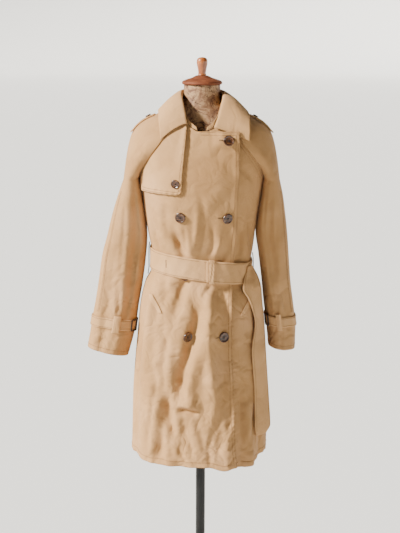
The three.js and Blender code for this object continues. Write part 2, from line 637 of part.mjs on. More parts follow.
function standColumn(share) {
  const half = Math.min(share, 1 - share);
  const sign = share < 0.5 ? 1 : -1;
  const around = share < 0.5 ? mix(0.16, 0.5, shareOf(STAND_ENDS, 0.5, share))
    : mix(0.5, 0.84, shareOf(0.5, 1 - STAND_ENDS, share));
  if (half < STAND_ENDS) {
    const seam = coatAt(sign * stand.x(half), stand.level(half), -CLOTH, 1);
    const top = vec(sign * stand.topX(half), stand.topY(half), stand.topZ(half));
    return [seam.add(vec(0, 0, STAND_LIFT)), top];
  }
  const under = rollPoint(around);
  const top = under.clone().addScaledVector(inward(under), COLLAR_STAND_IN)
    .add(vec(0, 0, -STAND_DROP));
  const turn = Math.atan2(under.x, -under.y) / DEGREE;
  const seamLevel = mix(NECK_SEAM_SIDE, NECK_SEAM_BACK, fade(100, 150, Math.abs(turn)));
  return [coat(turn, seamLevel, -STAND_LIFT), top];
}
const standColumns = STAND_SHARES.map(standColumn);
add('collar_stand', wall(turnGrid(standColumns.map(([seam, top]) => [
  seam, seam.clone().lerp(top, 0.5), top])), CLOTH), coatCloth);

// The storm flap lies on the right front, caught in the raglan seam and free at its front edge
// and its foot, where it stands off a little
const FLAP_COLUMNS = 8;
const FLAP_ROWS = 8;
const FLAP_STAND_OFF = 1.6;        // how much further its free edges stand off
const FLAP_TOP_OFF = 2.2;          // the same for its top, which lies over the raglan seam
function flapOut(s, r) {
  const free = Math.max(fade(0.6, 1, s), fade(0.4, 0, r));
  return LAY_GAP + SLACK + DOUBLE_CLOTH + FLAP_STAND_OFF * free + FLAP_TOP_OFF * fade(0.5, 0.85, r);
}
function stormFlap() {
  const side = borderOf(table(['share', 'x', 'level'], [
    [0, -148, 1158], [0.16, -150, 1186], [0.32, -141, 1216], [0.5, -124, 1247],
    [0.75, -95, 1287], [1, -63, 1342]]), ['x', 'level']);
  const far = borderOf(table(['share', 'x', 'level'], [
    [0, -53, 1160], [0.08, -49.5, 1168], [0.3, -47, 1205], [1, -37, 1322]]), ['x', 'level']);
  const foot = borderOf(table(['share', 'x', 'level'], [
    [0, -148, 1158], [0.9, -61, 1156.5], [1, -53, 1160]]), ['x', 'level']);
  const head = borderOf(table(['share', 'x', 'level'], [
    [0, -63, 1342], [0.6, -46, 1334], [1, -37, 1322]]), ['x', 'level']);
  return steps(FLAP_ROWS).map((r) => steps(FLAP_COLUMNS).map((s) => {
    const [x, level] = patch(side, far, foot, head, s, r);
    return coatAt(x, level, flapOut(s, r));
  }));
}
add('storm_flap', wall(stormFlap(), DOUBLE_CLOTH), coatCloth);

// Belt: a closed band round the waist, a second layer from the keeper to its slanted end, and the
// tail that hangs from there
const BELT_COLUMNS = 32;
const BELT_LAYER = DOUBLE_CLOTH + LAY_GAP + 0.1;
function beltPoint(angle, rise, out) {
  const point = coat(angle, BELT_LEVEL, BELT_OUT + DOUBLE_CLOTH + out, false);
  return point.add(vec(0, 0, rise));
}
const beltRows = [-BELT_HEIGHT / 2, 0, BELT_HEIGHT / 2];
const beltRing = beltRows.map((rise) => {
  const ring = steps(BELT_COLUMNS).slice(0, -1).map((s) => beltPoint(360 * s, rise, 0));
  return [...ring, ring[0].clone()];
});
add('belt', wall(beltRing, DOUBLE_CLOTH), coatCloth);

const BELT_END_START = 4;
const BELT_END_TOP = 62;          // angles where the slanted end meets the top and the foot
const BELT_END_FOOT = 52;
add('belt_end', wall(beltRows.map((rise) => steps(8).map((s) => {
  const end = mix(BELT_END_FOOT, BELT_END_TOP, rise / BELT_HEIGHT + 0.5);
  return beltPoint(mix(BELT_END_START, end, s), rise, BELT_LAYER);
})), DOUBLE_CLOTH), coatCloth);

const KEEPER_HALF_ANGLE = 2.6;
const KEEPER_ANGLE = 9;
const KEEPER_HALF_HEIGHT = 30.4;
const KEEPER_OUT = BELT_LAYER + CLOTH + 0.8;
const keeperProfile = table(['out', 'rise'], [
  [SLACK, -KEEPER_HALF_HEIGHT], [KEEPER_OUT, -KEEPER_HALF_HEIGHT], [KEEPER_OUT + 0.4, 0],
  [KEEPER_OUT, KEEPER_HALF_HEIGHT], [SLACK, KEEPER_HALF_HEIGHT]]);
add('belt_keeper', wall(keeperProfile.map(({ out, rise }) => [-1, 1].map(
  (sign) => beltPoint(KEEPER_ANGLE + sign * KEEPER_HALF_ANGLE, rise, out))), CLOTH), coatCloth);

const tailRows = table(['z', 'leftX', 'leftY', 'rightX', 'rightY', 'bulge'], [
  [520, 145, -94, 171, -72, 2],
  [540, 142, -97, 183, -61, 3],
  [606, 140, -98, 179, -59, 3],
  [674, 137, -99, 174, -56, 4],
  [753, 131, -100, 168, -59, 4],
  [819, 139, -83, 164, -37, 4],
  [862, 130, -86, 159, -43, 5],
  [883, 122, -87, 157, -48, 5],
  [911, 106, -88, 154, -58, 5],
  [934, 109, -79.8, 147, -50, 4],
  [950, 115, -72.1, 139, -46, 2],
  [966, 119, -65.5, 130, -53, 1],
]);
add('belt_tail', wall(tailRows.map(({ z, leftX, leftY, rightX, rightY, bulge }) => {
  const across = vec(rightX - leftX, rightY - leftY, 0);
  const outward = vec(across.y, -across.x, 0).normalize();
  return steps(3).map((t) => vec(leftX, leftY, z).addScaledVector(across, t)
    .addScaledVector(outward, bulge * Math.sin(Math.PI * t)));
}), DOUBLE_CLOTH), coatCloth);

// Thread loops at the side seams, which hold the belt up
const THREAD_RADIUS = 1.2;
const LOOP_ANGLE = 88;
const LOOP_TOP = 1004;            // levels on the coat where the loop is sewn in
const LOOP_FOOT = 918;
const LOOP_FOOT_GAP = 1.7;        // its slanting end keeps this far off the widening skirt
for (const side of SIDES) {
  const angle = side.sign * LOOP_ANGLE;
  const path = [coat(angle, LOOP_TOP, THREAD_RADIUS + LAY_GAP), beltPoint(angle, 26, 2),
    beltPoint(angle, 0, 2.4), beltPoint(angle, -26, 2.4),
    coat(angle, LOOP_FOOT, THREAD_RADIUS + LOOP_FOOT_GAP)];
  const outline = new THREE.Shape().absarc(0, 0, THREAD_RADIUS, 0, 2 * Math.PI);
  add(`belt_loop_${side.name}`, new THREE.ExtrudeGeometry(outline, {
    steps: 12, curveSegments: 3, extrudePath: new THREE.CatmullRomCurve3(path) }), thread);
}

// Cuff straps, made from the sleeve's own rings moved out, with a cloth loop and a covered buckle
const STRAP_OUT = LAY_GAP + SLACK + DOUBLE_CLOTH;
const CUFF_LOOP_ACROSS = 0.57;
const CUFF_LOOP_HALF = 0.08;
const CUFF_LOOP_PAST = 0.02;
const BUCKLE_ACROSS = 0.93;
const BUCKLE_GAP = 0;               // its corners already clear the bent strap
const BUCKLE_SIZE = { width: 22, height: 34, bar: 4.5, depth: 3.2 };

function roundedRectangle(target, width, height, radius) {
  const x = width / 2 - radius;
  const y = height / 2 - radius;
  target.absarc(x, -y, radius, -Math.PI / 2, 0);
  target.absarc(x, y, radius, 0, Math.PI / 2);
  target.absarc(-x, y, radius, Math.PI / 2, Math.PI);
  target.absarc(-x, -y, radius, Math.PI, 1.5 * Math.PI);
  return target;
}
function buckleGeometry() {
  const { width, height, bar, depth } = BUCKLE_SIZE;
  const outline = roundedRectangle(new THREE.Shape(), width, height, 4);
  outline.holes.push(roundedRectangle(new THREE.Path(), width - 2 * bar, height - 2 * bar, 2));
  return new THREE.ExtrudeGeometry(outline, { depth, bevelEnabled: false, curveSegments: 3 });
}
// Stands a piece on a point: its own Z along the normal, its own Y as near upright as may be
function seat(mesh, point, normal, gap) {
  const upright = vec(0, 0, 1).addScaledVector(normal, -normal.z).normalize();
  const across = upright.clone().cross(normal);
  mesh.quaternion.setFromRotationMatrix(new THREE.Matrix4().makeBasis(across, upright, normal));
  mesh.position.copy(point).addScaledVector(normal, gap);
}
function normalOf(pointAt, u, v, step) {
  const du = pointAt(u + step, v).sub(pointAt(u - step, v));
  const dv = pointAt(u, v + step).sub(pointAt(u, v - step));
  return du.cross(dv).normalize();
}

for (const side of SIDES) {
  const { sleeve, creases } = side;
  const strap = [STRAP_FOOT, STRAP_TOP].map(
    (share) => sleeveRing(sleeve, creases, share, STRAP_OUT));
  add(`cuff_strap_${side.name}`, wall(side.place(strap), DOUBLE_CLOTH), coatCloth);

  const loopOut = STRAP_OUT + LAY_GAP + 2 * SLACK + CLOTH;
  const loop = [STRAP_FOOT + CUFF_LOOP_PAST, STRAP_TOP - CUFF_LOOP_PAST].map((share) => [-1, 0, 1].map(
    (way) => onSleeve(sleeve, creases, share, 1, CUFF_LOOP_ACROSS + way * CUFF_LOOP_HALF,
      loopOut)));
  add(`cuff_loop_${side.name}`, wall(side.place(loop), CLOTH), coatCloth);

  const middle = (STRAP_TOP + STRAP_FOOT) / 2;
  const at = (across, share) => {
    const point = onSleeve(sleeve, creases, share, 1, across, STRAP_OUT);
    return vec(side.sign * point.x, point.y, point.z);
  };
  const normal = normalOf(at, BUCKLE_ACROSS, middle, 0.01).multiplyScalar(side.sign);
  const buckle = add(`cuff_buckle_${side.name}`, buckleGeometry(), buckleCover);
  seat(buckle, at(BUCKLE_ACROSS, middle), normal, BUCKLE_GAP);
}

// Epaulettes lie along the shoulder line, standing off it between their ends: from the end by the
// collar to the shoulder tip, where the strap turns down to the sleeve
const epaulettePath = table(['x', 'z', 'half'], [
  [119, 1348.2, 9], [124, 1347.4, 17], [136, 1343.6, 18.5], [150, 1336.5, 20], [163, 1327, 21],
  [172, 1318.5, 21.5], [177.5, 1311.5, 22], [179.6, 1305.5, 22], [178.6, 1301.2, 22]]);
const EPAULETTE_CROWN = 1.2;
const SMALL_BUTTON_DIAMETER = 15;
const BUTTON_GAP = 0.4;
const SMALL_BUTTON_ROW = 2;         // it sits at this row of the path

function button(name, diameter, segments) {
  const radius = diameter / 2;
  return add(name, turned([
    [0, 0], [radius * 0.45, 0], [radius, radius * 0.16], [radius, radius * 0.28],
    [radius * 0.86, radius * 0.36], [radius * 0.7, radius * 0.27], [0, radius * 0.24]],
  segments), horn);
}

for (const side of SIDES) {
  const columns = epaulettePath.map(({ x, z, half }) => [-1, 0, 1].map((way) => vec(
    side.sign * x, RIDGE_Y + way * half, z - EPAULETTE_CROWN * way * way)));
  const grid = turnGrid(side.sign > 0 ? columns : [...columns].reverse());
  add(`epaulette_${side.name}`, wall(grid, DOUBLE_CLOTH), coatCloth);
  const small = button(`epaulette_button_${side.name}`, SMALL_BUTTON_DIAMETER, 10);
  const place = columns[SMALL_BUTTON_ROW][1];
  const before = columns[SMALL_BUTTON_ROW - 1][1];
  const along = before.clone().sub(columns[SMALL_BUTTON_ROW + 1][1]).multiplyScalar(side.sign);
  seat(small, place, vec(along.z, 0, -along.x).normalize(), BUTTON_GAP);
}

// Buttons of the two rows, and the one on the storm flap
const buttonPlaces = table(['name', 'x', 'level', 'diameter', 'out'], [
  ['button_top_left', 64, 1290, BUTTON_DIAMETER, -0.5],
  ['button_chest_right', -53, 1098, BUTTON_DIAMETER, 0],
  ['button_chest_left', 64, 1097, BUTTON_DIAMETER, 0],
  ['button_hip_right', -36, 793, BUTTON_DIAMETER, 0.2],
  ['button_hip_left', 59, 792, BUTTON_DIAMETER, 1.3],
  ['button_flap', -64, 1184, FLAP_BUTTON_DIAMETER, LAY_GAP + DOUBLE_CLOTH + 1.6],
]);
for (const { name, x, level, diameter, out } of buttonPlaces) {
  const at = (u, v) => coatAt(u, v, out + cornerLift(u, v));
  seat(button(name, diameter, 12), at(x, level), normalOf(at, x, level, 4), BUTTON_GAP);
}

// The welts of the slanted pockets
const WELT_HALF = 5;
const WELT_THICK = 1.2;
const WELT_GAP = LAY_GAP + 3 * SLACK;
const WELT_TOP = { x: 124, level: 888 };
const WELT_FOOT = { x: 104, level: 848 };
for (const side of SIDES) {
  const grid = steps(4).map((t) => [-1, 1].map((way) => coatAt(
    side.sign * mix(WELT_FOOT.x, WELT_TOP.x, t) + way * WELT_HALF,
    mix(WELT_FOOT.level, WELT_TOP.level, t), WELT_GAP + WELT_THICK)));
  add(`pocket_welt_${side.name}`, wall(grid, WELT_THICK), coatCloth);
}

export default trenchCoat;
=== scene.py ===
# %% [markdown]
# # A trench coat on a dress form
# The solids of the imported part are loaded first. Each cell then makes one group of pieces: it works
# out points with numpy on a grid of two parameters, in millimetres, and hands them to Blender in
# metres. X runs to the wearer's left, -Y is the coat's front and Z is up.

import bmesh
import bpy
import numpy as np
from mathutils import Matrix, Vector


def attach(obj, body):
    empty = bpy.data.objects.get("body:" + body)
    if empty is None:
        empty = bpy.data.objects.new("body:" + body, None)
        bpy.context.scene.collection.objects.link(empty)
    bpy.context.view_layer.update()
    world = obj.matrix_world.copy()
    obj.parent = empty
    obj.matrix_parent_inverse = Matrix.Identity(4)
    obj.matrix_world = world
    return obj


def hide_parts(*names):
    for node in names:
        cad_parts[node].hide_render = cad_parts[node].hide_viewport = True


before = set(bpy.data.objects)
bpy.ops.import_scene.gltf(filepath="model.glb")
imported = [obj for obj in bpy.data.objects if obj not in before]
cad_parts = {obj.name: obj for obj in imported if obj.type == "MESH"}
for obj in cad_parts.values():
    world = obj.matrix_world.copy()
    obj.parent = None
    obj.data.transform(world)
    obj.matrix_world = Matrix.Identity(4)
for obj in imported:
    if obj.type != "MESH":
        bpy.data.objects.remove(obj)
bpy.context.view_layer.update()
print("solids loaded:", len(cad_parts))

# %% [markdown]
# ## Small tools
# A table is a list of rows with named columns. A curve runs through one column without
# overshooting its rows, so a table of sizes turns into a smooth shape.

# %% Tables, curves and soft steps
MM = 0.001
CLOTH = 1.6                 # the panels' thickness
DOUBLE_CLOTH = 2.2          # the thickness of pieces that are sewn double
SEAM_LAP = 2.5              # how far a sleeve's edge lies over the panels at the raglan seam
LAY_GAP = 0.5               # air between a piece and the panel that it lies on
SLACK = 0.3                 # a little more air, where the cloth below is uneven
HEM_LEVEL = 440
ARMPIT_LEVEL = 1190
FRONT_TOP = 1312            # upper edge of the right front, where it is buttoned over
UNDERLAP_TOP = 1303         # upper end of the left front's edge
BELT_LEVEL = 962            # the belt's middle at the centre front
BELT_TILT = 0.13            # how much the belt drops towards the wearer's left, for 1 mm of x
BELT_REACH = 90             # how far above and below the belt the tilt dies out
BELT_HEIGHT = 55
BELT_OUT = 2.6              # from the coat's section to the belt's inner face
UNDERLAP_X = -45            # edge of the wearer's left front, under the right one
SIDE_ANGLE = 89.88          # where a front ends, just short of the side seam
UP = np.array([0.0, 0.0, 1.0])


def curve(keys, values):
    """A function through the points that stays level where they turn back."""
    keys = np.asarray(keys, float)
    values = np.asarray(values, float)
    gaps = np.diff(keys)
    rise = np.diff(values) / gaps
    product = rise[:-1] * rise[1:]
    total = rise[:-1] + rise[1:]
    inner = np.where(product > 0, 2 * product / np.where(product > 0, total, 1), 0)
    slope = np.concatenate([rise[:1], inner, rise[-1:]])

    def value_at(at):
        at = np.clip(np.asarray(at, float), keys[0], keys[-1])
        k = np.clip(np.searchsorted(keys, at) - 1, 0, len(gaps) - 1)
        t = (at - keys[k]) / gaps[k]
        bent = t * t * (3 - 2 * t)
        level = values[k] + (values[k + 1] - values[k]) * bent
        return level + gaps[k] * t * (1 - t) * ((1 - t) * slope[k] - t * slope[k + 1])
    return value_at


def curves(columns, rows):
    """One curve for each column, by the table's first column."""
    data = np.array(rows, float)
    return {name: curve(data[:, 0], data[:, k]) for k, name in enumerate(columns.split()) if k}


def mix(a, b, t):
    return a + (b - a) * t


def share_of(a, b, x):
    return np.clip((x - a) / (b - a), 0, 1)


def fade(a, b, x):
    """Rises softly from 0 at a to 1 at b."""
    t = share_of(a, b, x)
    return t * t * (3 - 2 * t)


def hill(x):
    return np.exp(-x * x)


def stack(x, y, z):
    return np.stack(np.broadcast_arrays(x, y, z), axis=-1).astype(float)


def unit(vectors):
    return vectors / np.maximum(np.linalg.norm(vectors, axis=-1, keepdims=True), 1e-9)


def walk_along(points):
    """How far along a path each of its points lies."""
    return np.concatenate([[0], np.cumsum(np.linalg.norm(np.diff(points, axis=0), axis=1))])


def mirrored(points, sign):
    """Points worked out for x counted outward, set on the right (-1) or the left (1)."""
    return points * np.array([sign, 1.0, 1.0])


# %% [markdown]
# ## Colours and materials
# Hex colours are read as a screen shows them and turned into the linear values that Blender mixes.

# %% Colours, and one function that adds a shader node
def colour(hexes):
    parts = np.array([int(hexes[k:k + 2], 16) for k in (0, 2, 4)]) / 255
    linear = np.where(parts > 0.04045, ((parts + 0.055) / 1.055) ** 2.4, parts / 12.92)
    return (*linear.tolist(), 1.0)


def new_material(name, **sockets):
    """A material with its Principled shader's own sockets set to the given values."""
    material = bpy.data.materials.new(name)
    material.use_nodes = True
    shader = material.node_tree.nodes["Principled BSDF"]
    for socket, value in sockets.items():
        shader.inputs[socket.replace("_", " ")].default_value = value
    return material, shader


def add_node(shader, kind, links=(), **settings):
    """Adds a node. A link is (input, value or output); a setting is one of the node's own."""
    tree = shader.id_data
    node = tree.nodes.new(kind)
    for setting, value in settings.items():
        setattr(node, setting, value)
    for key, value in links:
        if isinstance(value, bpy.types.NodeSocket):
            tree.links.new(value, node.inputs[key])
        else:
            node.inputs[key].default_value = value
    return node


def join(shader, output, socket):
    shader.id_data.links.new(output, shader.inputs[socket])


def ramp(shader, factor, stops):
    """Turns a factor into colours: each stop is (place, hex colour)."""
    node = add_node(shader, "ShaderNodeValToRGB", [("Fac", factor)])
    band = node.color_ramp
    for k, (place, hexes) in enumerate(stops):
        stop = band.elements[k] if k < 2 else band.elements.new(place)
        stop.position = place
        stop.color = colour(hexes)
    return node.outputs["Color"]


def noise(shader, coordinates, scale, detail=3.0, roughness=0.55, distortion=0.0):
    node = add_node(shader, "ShaderNodeTexNoise", [
        ("Vector", coordinates), ("Scale", scale), ("Detail", detail),
        ("Roughness", roughness), ("Distortion", distortion)])
    return node.outputs["Fac"]


def stretched(shader, coordinates, scale):
    node = add_node(shader, "ShaderNodeMapping", [("Vector", coordinates), ("Scale", scale)])
    return node.outputs["Vector"]


def bump(shader, height, distance, strength=1.0, below=None):
    links = [("Height", height), ("Distance", distance), ("Strength", strength)]
    if below is not None:
        links.append(("Normal", below))
    return add_node(shader, "ShaderNodeBump", links).outputs["Normal"]


print("material tools ready")


# %% Cloth, thread, horn, leather, wood, papier-mache and steel
def cloth_material(name, light, middle, dark, crumple):
    """Cotton gabardine: a fine diagonal twill, soft mottling and small creases."""
    material, shader = new_material(
        name, Roughness=0.88, Sheen_Weight=0.05, Sheen_Roughness=0.4, Specular_IOR_Level=0.25)
    coordinates = add_node(shader, "ShaderNodeTexCoord")
    place = coordinates.outputs["Object"]
    broad = noise(shader, place, 7.0, 4.0)
    join(shader, ramp(shader, broad, [(0.3, dark), (0.5, middle), (0.72, light)]), "Base Color")
    twill = add_node(shader, "ShaderNodeTexWave", [
        ("Vector", coordinates.outputs["UV"]), ("Scale", 330.0), ("Distortion", 0.6),
        ("Detail", 1.0)], wave_type="BANDS", bands_direction="DIAGONAL")
    fibres = noise(shader, coordinates.outputs["UV"], 900.0, 2.0)
    normal = bump(shader, twill.outputs["Fac"], 0.00012)
    normal = bump(shader, fibres, 0.0001, 0.6, normal)
    height = add_node(shader, "ShaderNodeSeparateXYZ", [("Vector", place)]).outputs["Z"]
    low = add_node(shader, "ShaderNodeMapRange", [
        ("Value", height), ("From Min", 0.86), ("From Max", 0.98), ("To Min", 1.0),
        ("To Max", 0.5)]).outputs["Result"]
    for scale, depth in ((8.0, 0.022), (21.0, 0.009)):
        wrinkle = noise(shader, place, scale, 2.0, 0.45, 0.7)
        centred = add_node(shader, "ShaderNodeMath", [(0, wrinkle), (1, 0.5)],
                           operation="SUBTRACT").outputs["Value"]
        ridge = add_node(shader, "ShaderNodeMath", [(0, centred)],
                         operation="ABSOLUTE").outputs["Value"]
        masked = add_node(shader, "ShaderNodeMath", [(0, ridge), (1, low)],
                          operation="MULTIPLY").outputs["Value"]
        normal = bump(shader, masked, depth * crumple, 1.0, normal)
    join(shader, normal, "Normal")
    return material


def plain_material(name, stops, scale, stretch=(1, 1, 1), depth=0.0002, **sockets):
    """A material whose colour and fine relief follow one stretched noise."""
    material, shader = new_material(name, **sockets)
    place = add_node(shader, "ShaderNodeTexCoord").outputs["Object"]
    streaks = noise(shader, stretched(shader, place, stretch), scale, 6.0, 0.6, 0.5)
    join(shader, ramp(shader, streaks, stops), "Base Color")
    join(shader, bump(shader, streaks, depth), "Normal")
    return material


def cracked_material(name):
    """Old papier-mache: stained brown and tan, with dark cracks and a worn varnish."""
    material, shader = new_material(name, Roughness=0.62, Specular_IOR_Level=0.35)
    place = add_node(shader, "ShaderNodeTexCoord").outputs["Object"]
    wander = add_node(shader, "ShaderNodeTexNoise", [
        ("Vector", place), ("Scale", 30.0), ("Detail", 4.0)]).outputs["Color"]
    bent = add_node(shader, "ShaderNodeMix", [
        ("Factor", 0.11), ("A", place), ("B", wander)], data_type="VECTOR").outputs["Result"]
    cells = add_node(shader, "ShaderNodeTexVoronoi", [
        ("Vector", stretched(shader, bent, (1.0, 1.0, 0.7))), ("Scale", 24.0)],
        feature="DISTANCE_TO_EDGE").outputs["Distance"]
    crack = add_node(shader, "ShaderNodeMapRange", [
        ("Value", cells), ("From Min", 0.0), ("From Max", 0.035)]).outputs["Result"]
    stain = noise(shader, place, 34.0, 8.0, 0.68, 1.2)
    skin = ramp(shader, stain, [
        (0.3, "4A2E1E"), (0.45, "7D5A40"), (0.56, "A5835F"), (0.7, "8A6A4C")])
    paint = add_node(shader, "ShaderNodeMix", [
        ("Factor", crack), ("A", colour("3A2418")), ("B", skin)], data_type="RGBA")
    join(shader, paint.outputs["Result"], "Base Color")
    normal = bump(shader, stain, 0.0007)
    join(shader, bump(shader, crack, 0.0005, 1.0, normal), "Normal")
    return material


cloth = cloth_material("gabardine", "B98F63", "AD8456", "9D7549", 1.0)
# The same gabardine in paler tones for the collar, flap, welts, belt, straps and epaulettes: painted
# light, so these pieces read brighter than the panels and sleeves beside them.
trim_cloth_painted_lighter = cloth_material("gabardine_painted_lighter", "C69B6D", "BA9061", "AC8254", 0.7)
# Topstitch thread, darkened past its own colour: the dark paints the shade of the grooves and puckers
# along each row of stitches.
stitch_thread_painted_shade = plain_material(
    "stitch_thread_painted_shade", [(0.3, "6E4C2A"), (0.7, "8E693F")], 900, Roughness=0.85)
dark_thread = plain_material("dark_thread", [(0.3, "120D0A"), (0.7, "2E241D")], 800, Roughness=0.9)
horn = plain_material(
    "horn", [(0.3, "1A0D06"), (0.5, "3A1F10"), (0.72, "7A5432")], 90, (1, 1, 3), 0.0001,
    Roughness=0.28, Coat_Weight=0.2, Coat_Roughness=0.12)
leather = plain_material(
    "leather", [(0.3, "1E120C"), (0.7, "3D271B")], 700, Roughness=0.42, Specular_IOR_Level=0.5)
cap_wood = plain_material(
    "cap_wood", [(0.25, "431F11"), (0.5, "6B3820"), (0.75, "865030")], 60, (1, 1, 8), 0.0002,
    Roughness=0.75, Specular_IOR_Level=0.25)
finial_wood = plain_material(
    "finial_wood", [(0.25, "6A3414"), (0.5, "9A5526"), (0.75, "BC7840")], 55, (3, 3, 0.6), 0.0001,
    Roughness=0.35, Coat_Weight=0.35, Coat_Roughness=0.15)
steel = plain_material(
    "black_steel", [(0.3, "0C0C0C"), (0.7, "1A1A1A")], 60, Roughness=0.45, Metallic=0.4)
iron = plain_material(
    "painted_iron", [(0.3, "0D0D0D"), (0.7, "1D1C1B")], 160, depth=0.0004, Roughness=0.5)
papier_mache = cracked_material("papier_mache")
print("materials:", len(bpy.data.materials))


# %% [markdown]
# ## From a grid of points to a piece
# A grid holds rows of points. A sheet of faces is laid over it, points that coincide are joined,
# and Blender's Solidify gives it the cloth's thickness on the inner side.

# %% Grid meshes, lathes and stitches
def place_in_scene(name, data):
    holder = bpy.data.objects.new(name, data)
    bpy.context.scene.collection.objects.link(holder)
    return holder


def mesh_object(name, points, faces, material, smooth=True):
    mesh = bpy.data.meshes.new(name)
    mesh.from_pydata((points * MM).tolist(), [], faces.tolist())
    mesh.polygons.foreach_set("use_smooth", [smooth] * len(mesh.polygons))
    mesh.materials.append(material)
    return place_in_scene(name, mesh)


def claim(piece, nodes=()):
    """Makes an object a piece of the part that replaces the named solids."""
    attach(piece, "root")
    if nodes:
        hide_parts(*nodes)


def grid_faces(rows, columns):
    number = np.arange(rows * columns).reshape(rows, columns)
    return np.stack([number[:-1, :-1], number[:-1, 1:], number[1:, 1:], number[1:, :-1]],
                    axis=-1).reshape(-1, 4)


def grid_piece(name, grid, material, nodes=()):
    piece = mesh_object(name, grid.reshape(-1, 3), grid_faces(*grid.shape[:2]), material)
    claim(piece, nodes)
    return piece


def join_doubles(piece):
    """Joins points that coincide, such as the two sides of a grid that closes on itself."""
    edit = bmesh.new()
    edit.from_mesh(piece.data)
    bmesh.ops.remove_doubles(edit, verts=edit.verts, dist=0.02 * MM)
    edit.to_mesh(piece.data)
    edit.free()


def lay_cloth(mesh, places):
    """Gives each corner its place in the cloth, in metres, for the twill."""
    layer = mesh.uv_layers.new(name="cloth")
    loops = np.zeros(len(mesh.loops), int)
    mesh.loops.foreach_get("vertex_index", loops)
    layer.data.foreach_set("uv", (places[loops] * MM).astype(np.float32).ravel())


def lengths(grid):
    """Each point's place in the cloth: how far along its row and along its column it lies."""
    across = np.linalg.norm(np.diff(grid, axis=1), axis=-1)
    along = np.linalg.norm(np.diff(grid, axis=0), axis=-1)
    u = np.pad(np.cumsum(across, axis=1), ((0, 0), (1, 0)))
    v = np.pad(np.cumsum(along, axis=0), ((1, 0), (0, 0)))
    return np.stack([u - u.mean(axis=1, keepdims=True), v], axis=-1)


def area_of(grid):
    """The grid's area in square metres."""
    one = np.cross(grid[:-1, 1:] - grid[:-1, :-1], grid[1:, :-1] - grid[:-1, :-1])
    two = np.cross(grid[1:, :-1] - grid[1:, 1:], grid[:-1, 1:] - grid[1:, 1:])
    halves = np.linalg.norm(one, axis=-1) + np.linalg.norm(two, axis=-1)
    return float(halves.sum() / 2) * MM * MM


def shell(name, grid, thickness, material, nodes):
    """A cloth piece whose outer face is the grid."""
    piece = grid_piece(name, grid, material, nodes)
    lay_cloth(piece.data, lengths(grid).reshape(-1, 2))
    join_doubles(piece)
    solid = piece.modifiers.new("thickness", "SOLIDIFY")
    solid.thickness = thickness * MM
    solid.offset = -1
    rows, columns = grid.shape[:2]
    print(f"{name}: {rows} x {columns} points, {area_of(grid):.4f} square metres")


def lathe(name, profile, material, nodes, segments=72):
    """A turned piece: profile is a list of (radius, height) from foot to head."""
    profile = np.array(profile, float)
    turn = np.linspace(0, 2 * np.pi, segments + 1)
    radius = profile[:, :1]
    grid = stack(radius * np.sin(turn), -radius * np.cos(turn), profile[:, 1:])
    join_doubles(grid_piece(name, grid, material, nodes))


def rounded(profile, steps=6):
    """Adds points to a profile along a smooth curve, by its length."""
    profile = np.array(profile, float)
    walk = walk_along(profile)
    at = np.linspace(0, walk[-1], (len(profile) - 1) * steps + 1)
    return np.stack([curve(walk, profile[:, 0])(at), curve(walk, profile[:, 1])(at)], axis=1)


STITCH = 3.4                # from one stitch to the next
THREAD_LONG = 2.4
THREAD_WIDE = 1.5
THREAD_HIGH = 0.45
THREAD_OFF = 0.12           # how far off the cloth the lines of stitches run


def stitches(name, lines, material=stitch_thread_painted_shade):
    """Raised dashes along lines. Each line is (points, outward directions)."""
    blocks = []
    corner = np.array([(a, b, c) for a in (-1, 1) for b in (-1, 1) for c in (-1, 1)], float)
    for points, outward in lines:
        walk = walk_along(points)
        at = np.arange(STITCH, walk[-1] - STITCH / 2, STITCH)
        ahead = [np.interp(at + THREAD_LONG / 2, walk, points[:, k]) for k in range(3)]
        behind = [np.interp(at - THREAD_LONG / 2, walk, points[:, k]) for k in range(3)]
        ahead, behind = np.stack(ahead, 1), np.stack(behind, 1)
        out = unit(np.stack([np.interp(at, walk, outward[:, k]) for k in range(3)], 1))
        middle, half = (ahead + behind) / 2, (ahead - behind) / 2
        side = unit(np.cross(out, half)) * THREAD_WIDE / 2
        slim = 1 - 0.35 * (corner[:, 2] > 0)
        blocks.append(
            middle[:, None] + corner[None, :, :1] * half[:, None] * slim[None, :, None]
            + corner[None, :, 1:2] * side[:, None] * slim[None, :, None]
            + corner[None, :, 2:] * out[:, None] * THREAD_HIGH)
    points = np.concatenate(blocks).reshape(-1, 3)
    box = np.array([(0, 1, 3, 2), (4, 6, 7, 5), (0, 4, 5, 1), (2, 3, 7, 6), (0, 2, 6, 4),
                    (1, 5, 7, 3)])
    faces = (box[None] + 8 * np.arange(len(points) // 8)[:, None, None]).reshape(-1, 4)
    claim(mesh_object(name, points, faces, material, smooth=False))
    print(f"{name}: {len(points) // 8} stitches")


def grid_line(grid, rows, columns):
    """Points and outward directions on a grid, at places given as shares of it."""
    du = np.gradient(grid, axis=1)
    dv = np.gradient(grid, axis=0)
    outward = unit(np.cross(du, dv))
    rows, columns = np.broadcast_arrays(
        np.asarray(rows, float) * (grid.shape[0] - 1), np.asarray(columns, float) * (grid.shape[1] - 1))
    i = np.clip(np.floor(rows).astype(int), 0, grid.shape[0] - 2)
    j = np.clip(np.floor(columns).astype(int), 0, grid.shape[1] - 2)
    a, b = (rows - i)[:, None], (columns - j)[:, None]

    def sample(field):
        low = mix(field[i, j], field[i, j + 1], b)
        high = mix(field[i + 1, j], field[i + 1, j + 1], b)
        return mix(low, high, a)
    return sample(grid) + sample(outward) * 0.1, unit(sample(outward))


print("mesh tools ready")

# %% [markdown]
# ## The coat's body
# The coat is a set of sections, one at each height. A point is named by its angle from the centre
# front and its height. Folds are ridges and troughs that run down it, and creases are short
# troughs with a ridge beside them, placed by their two ends on the front.

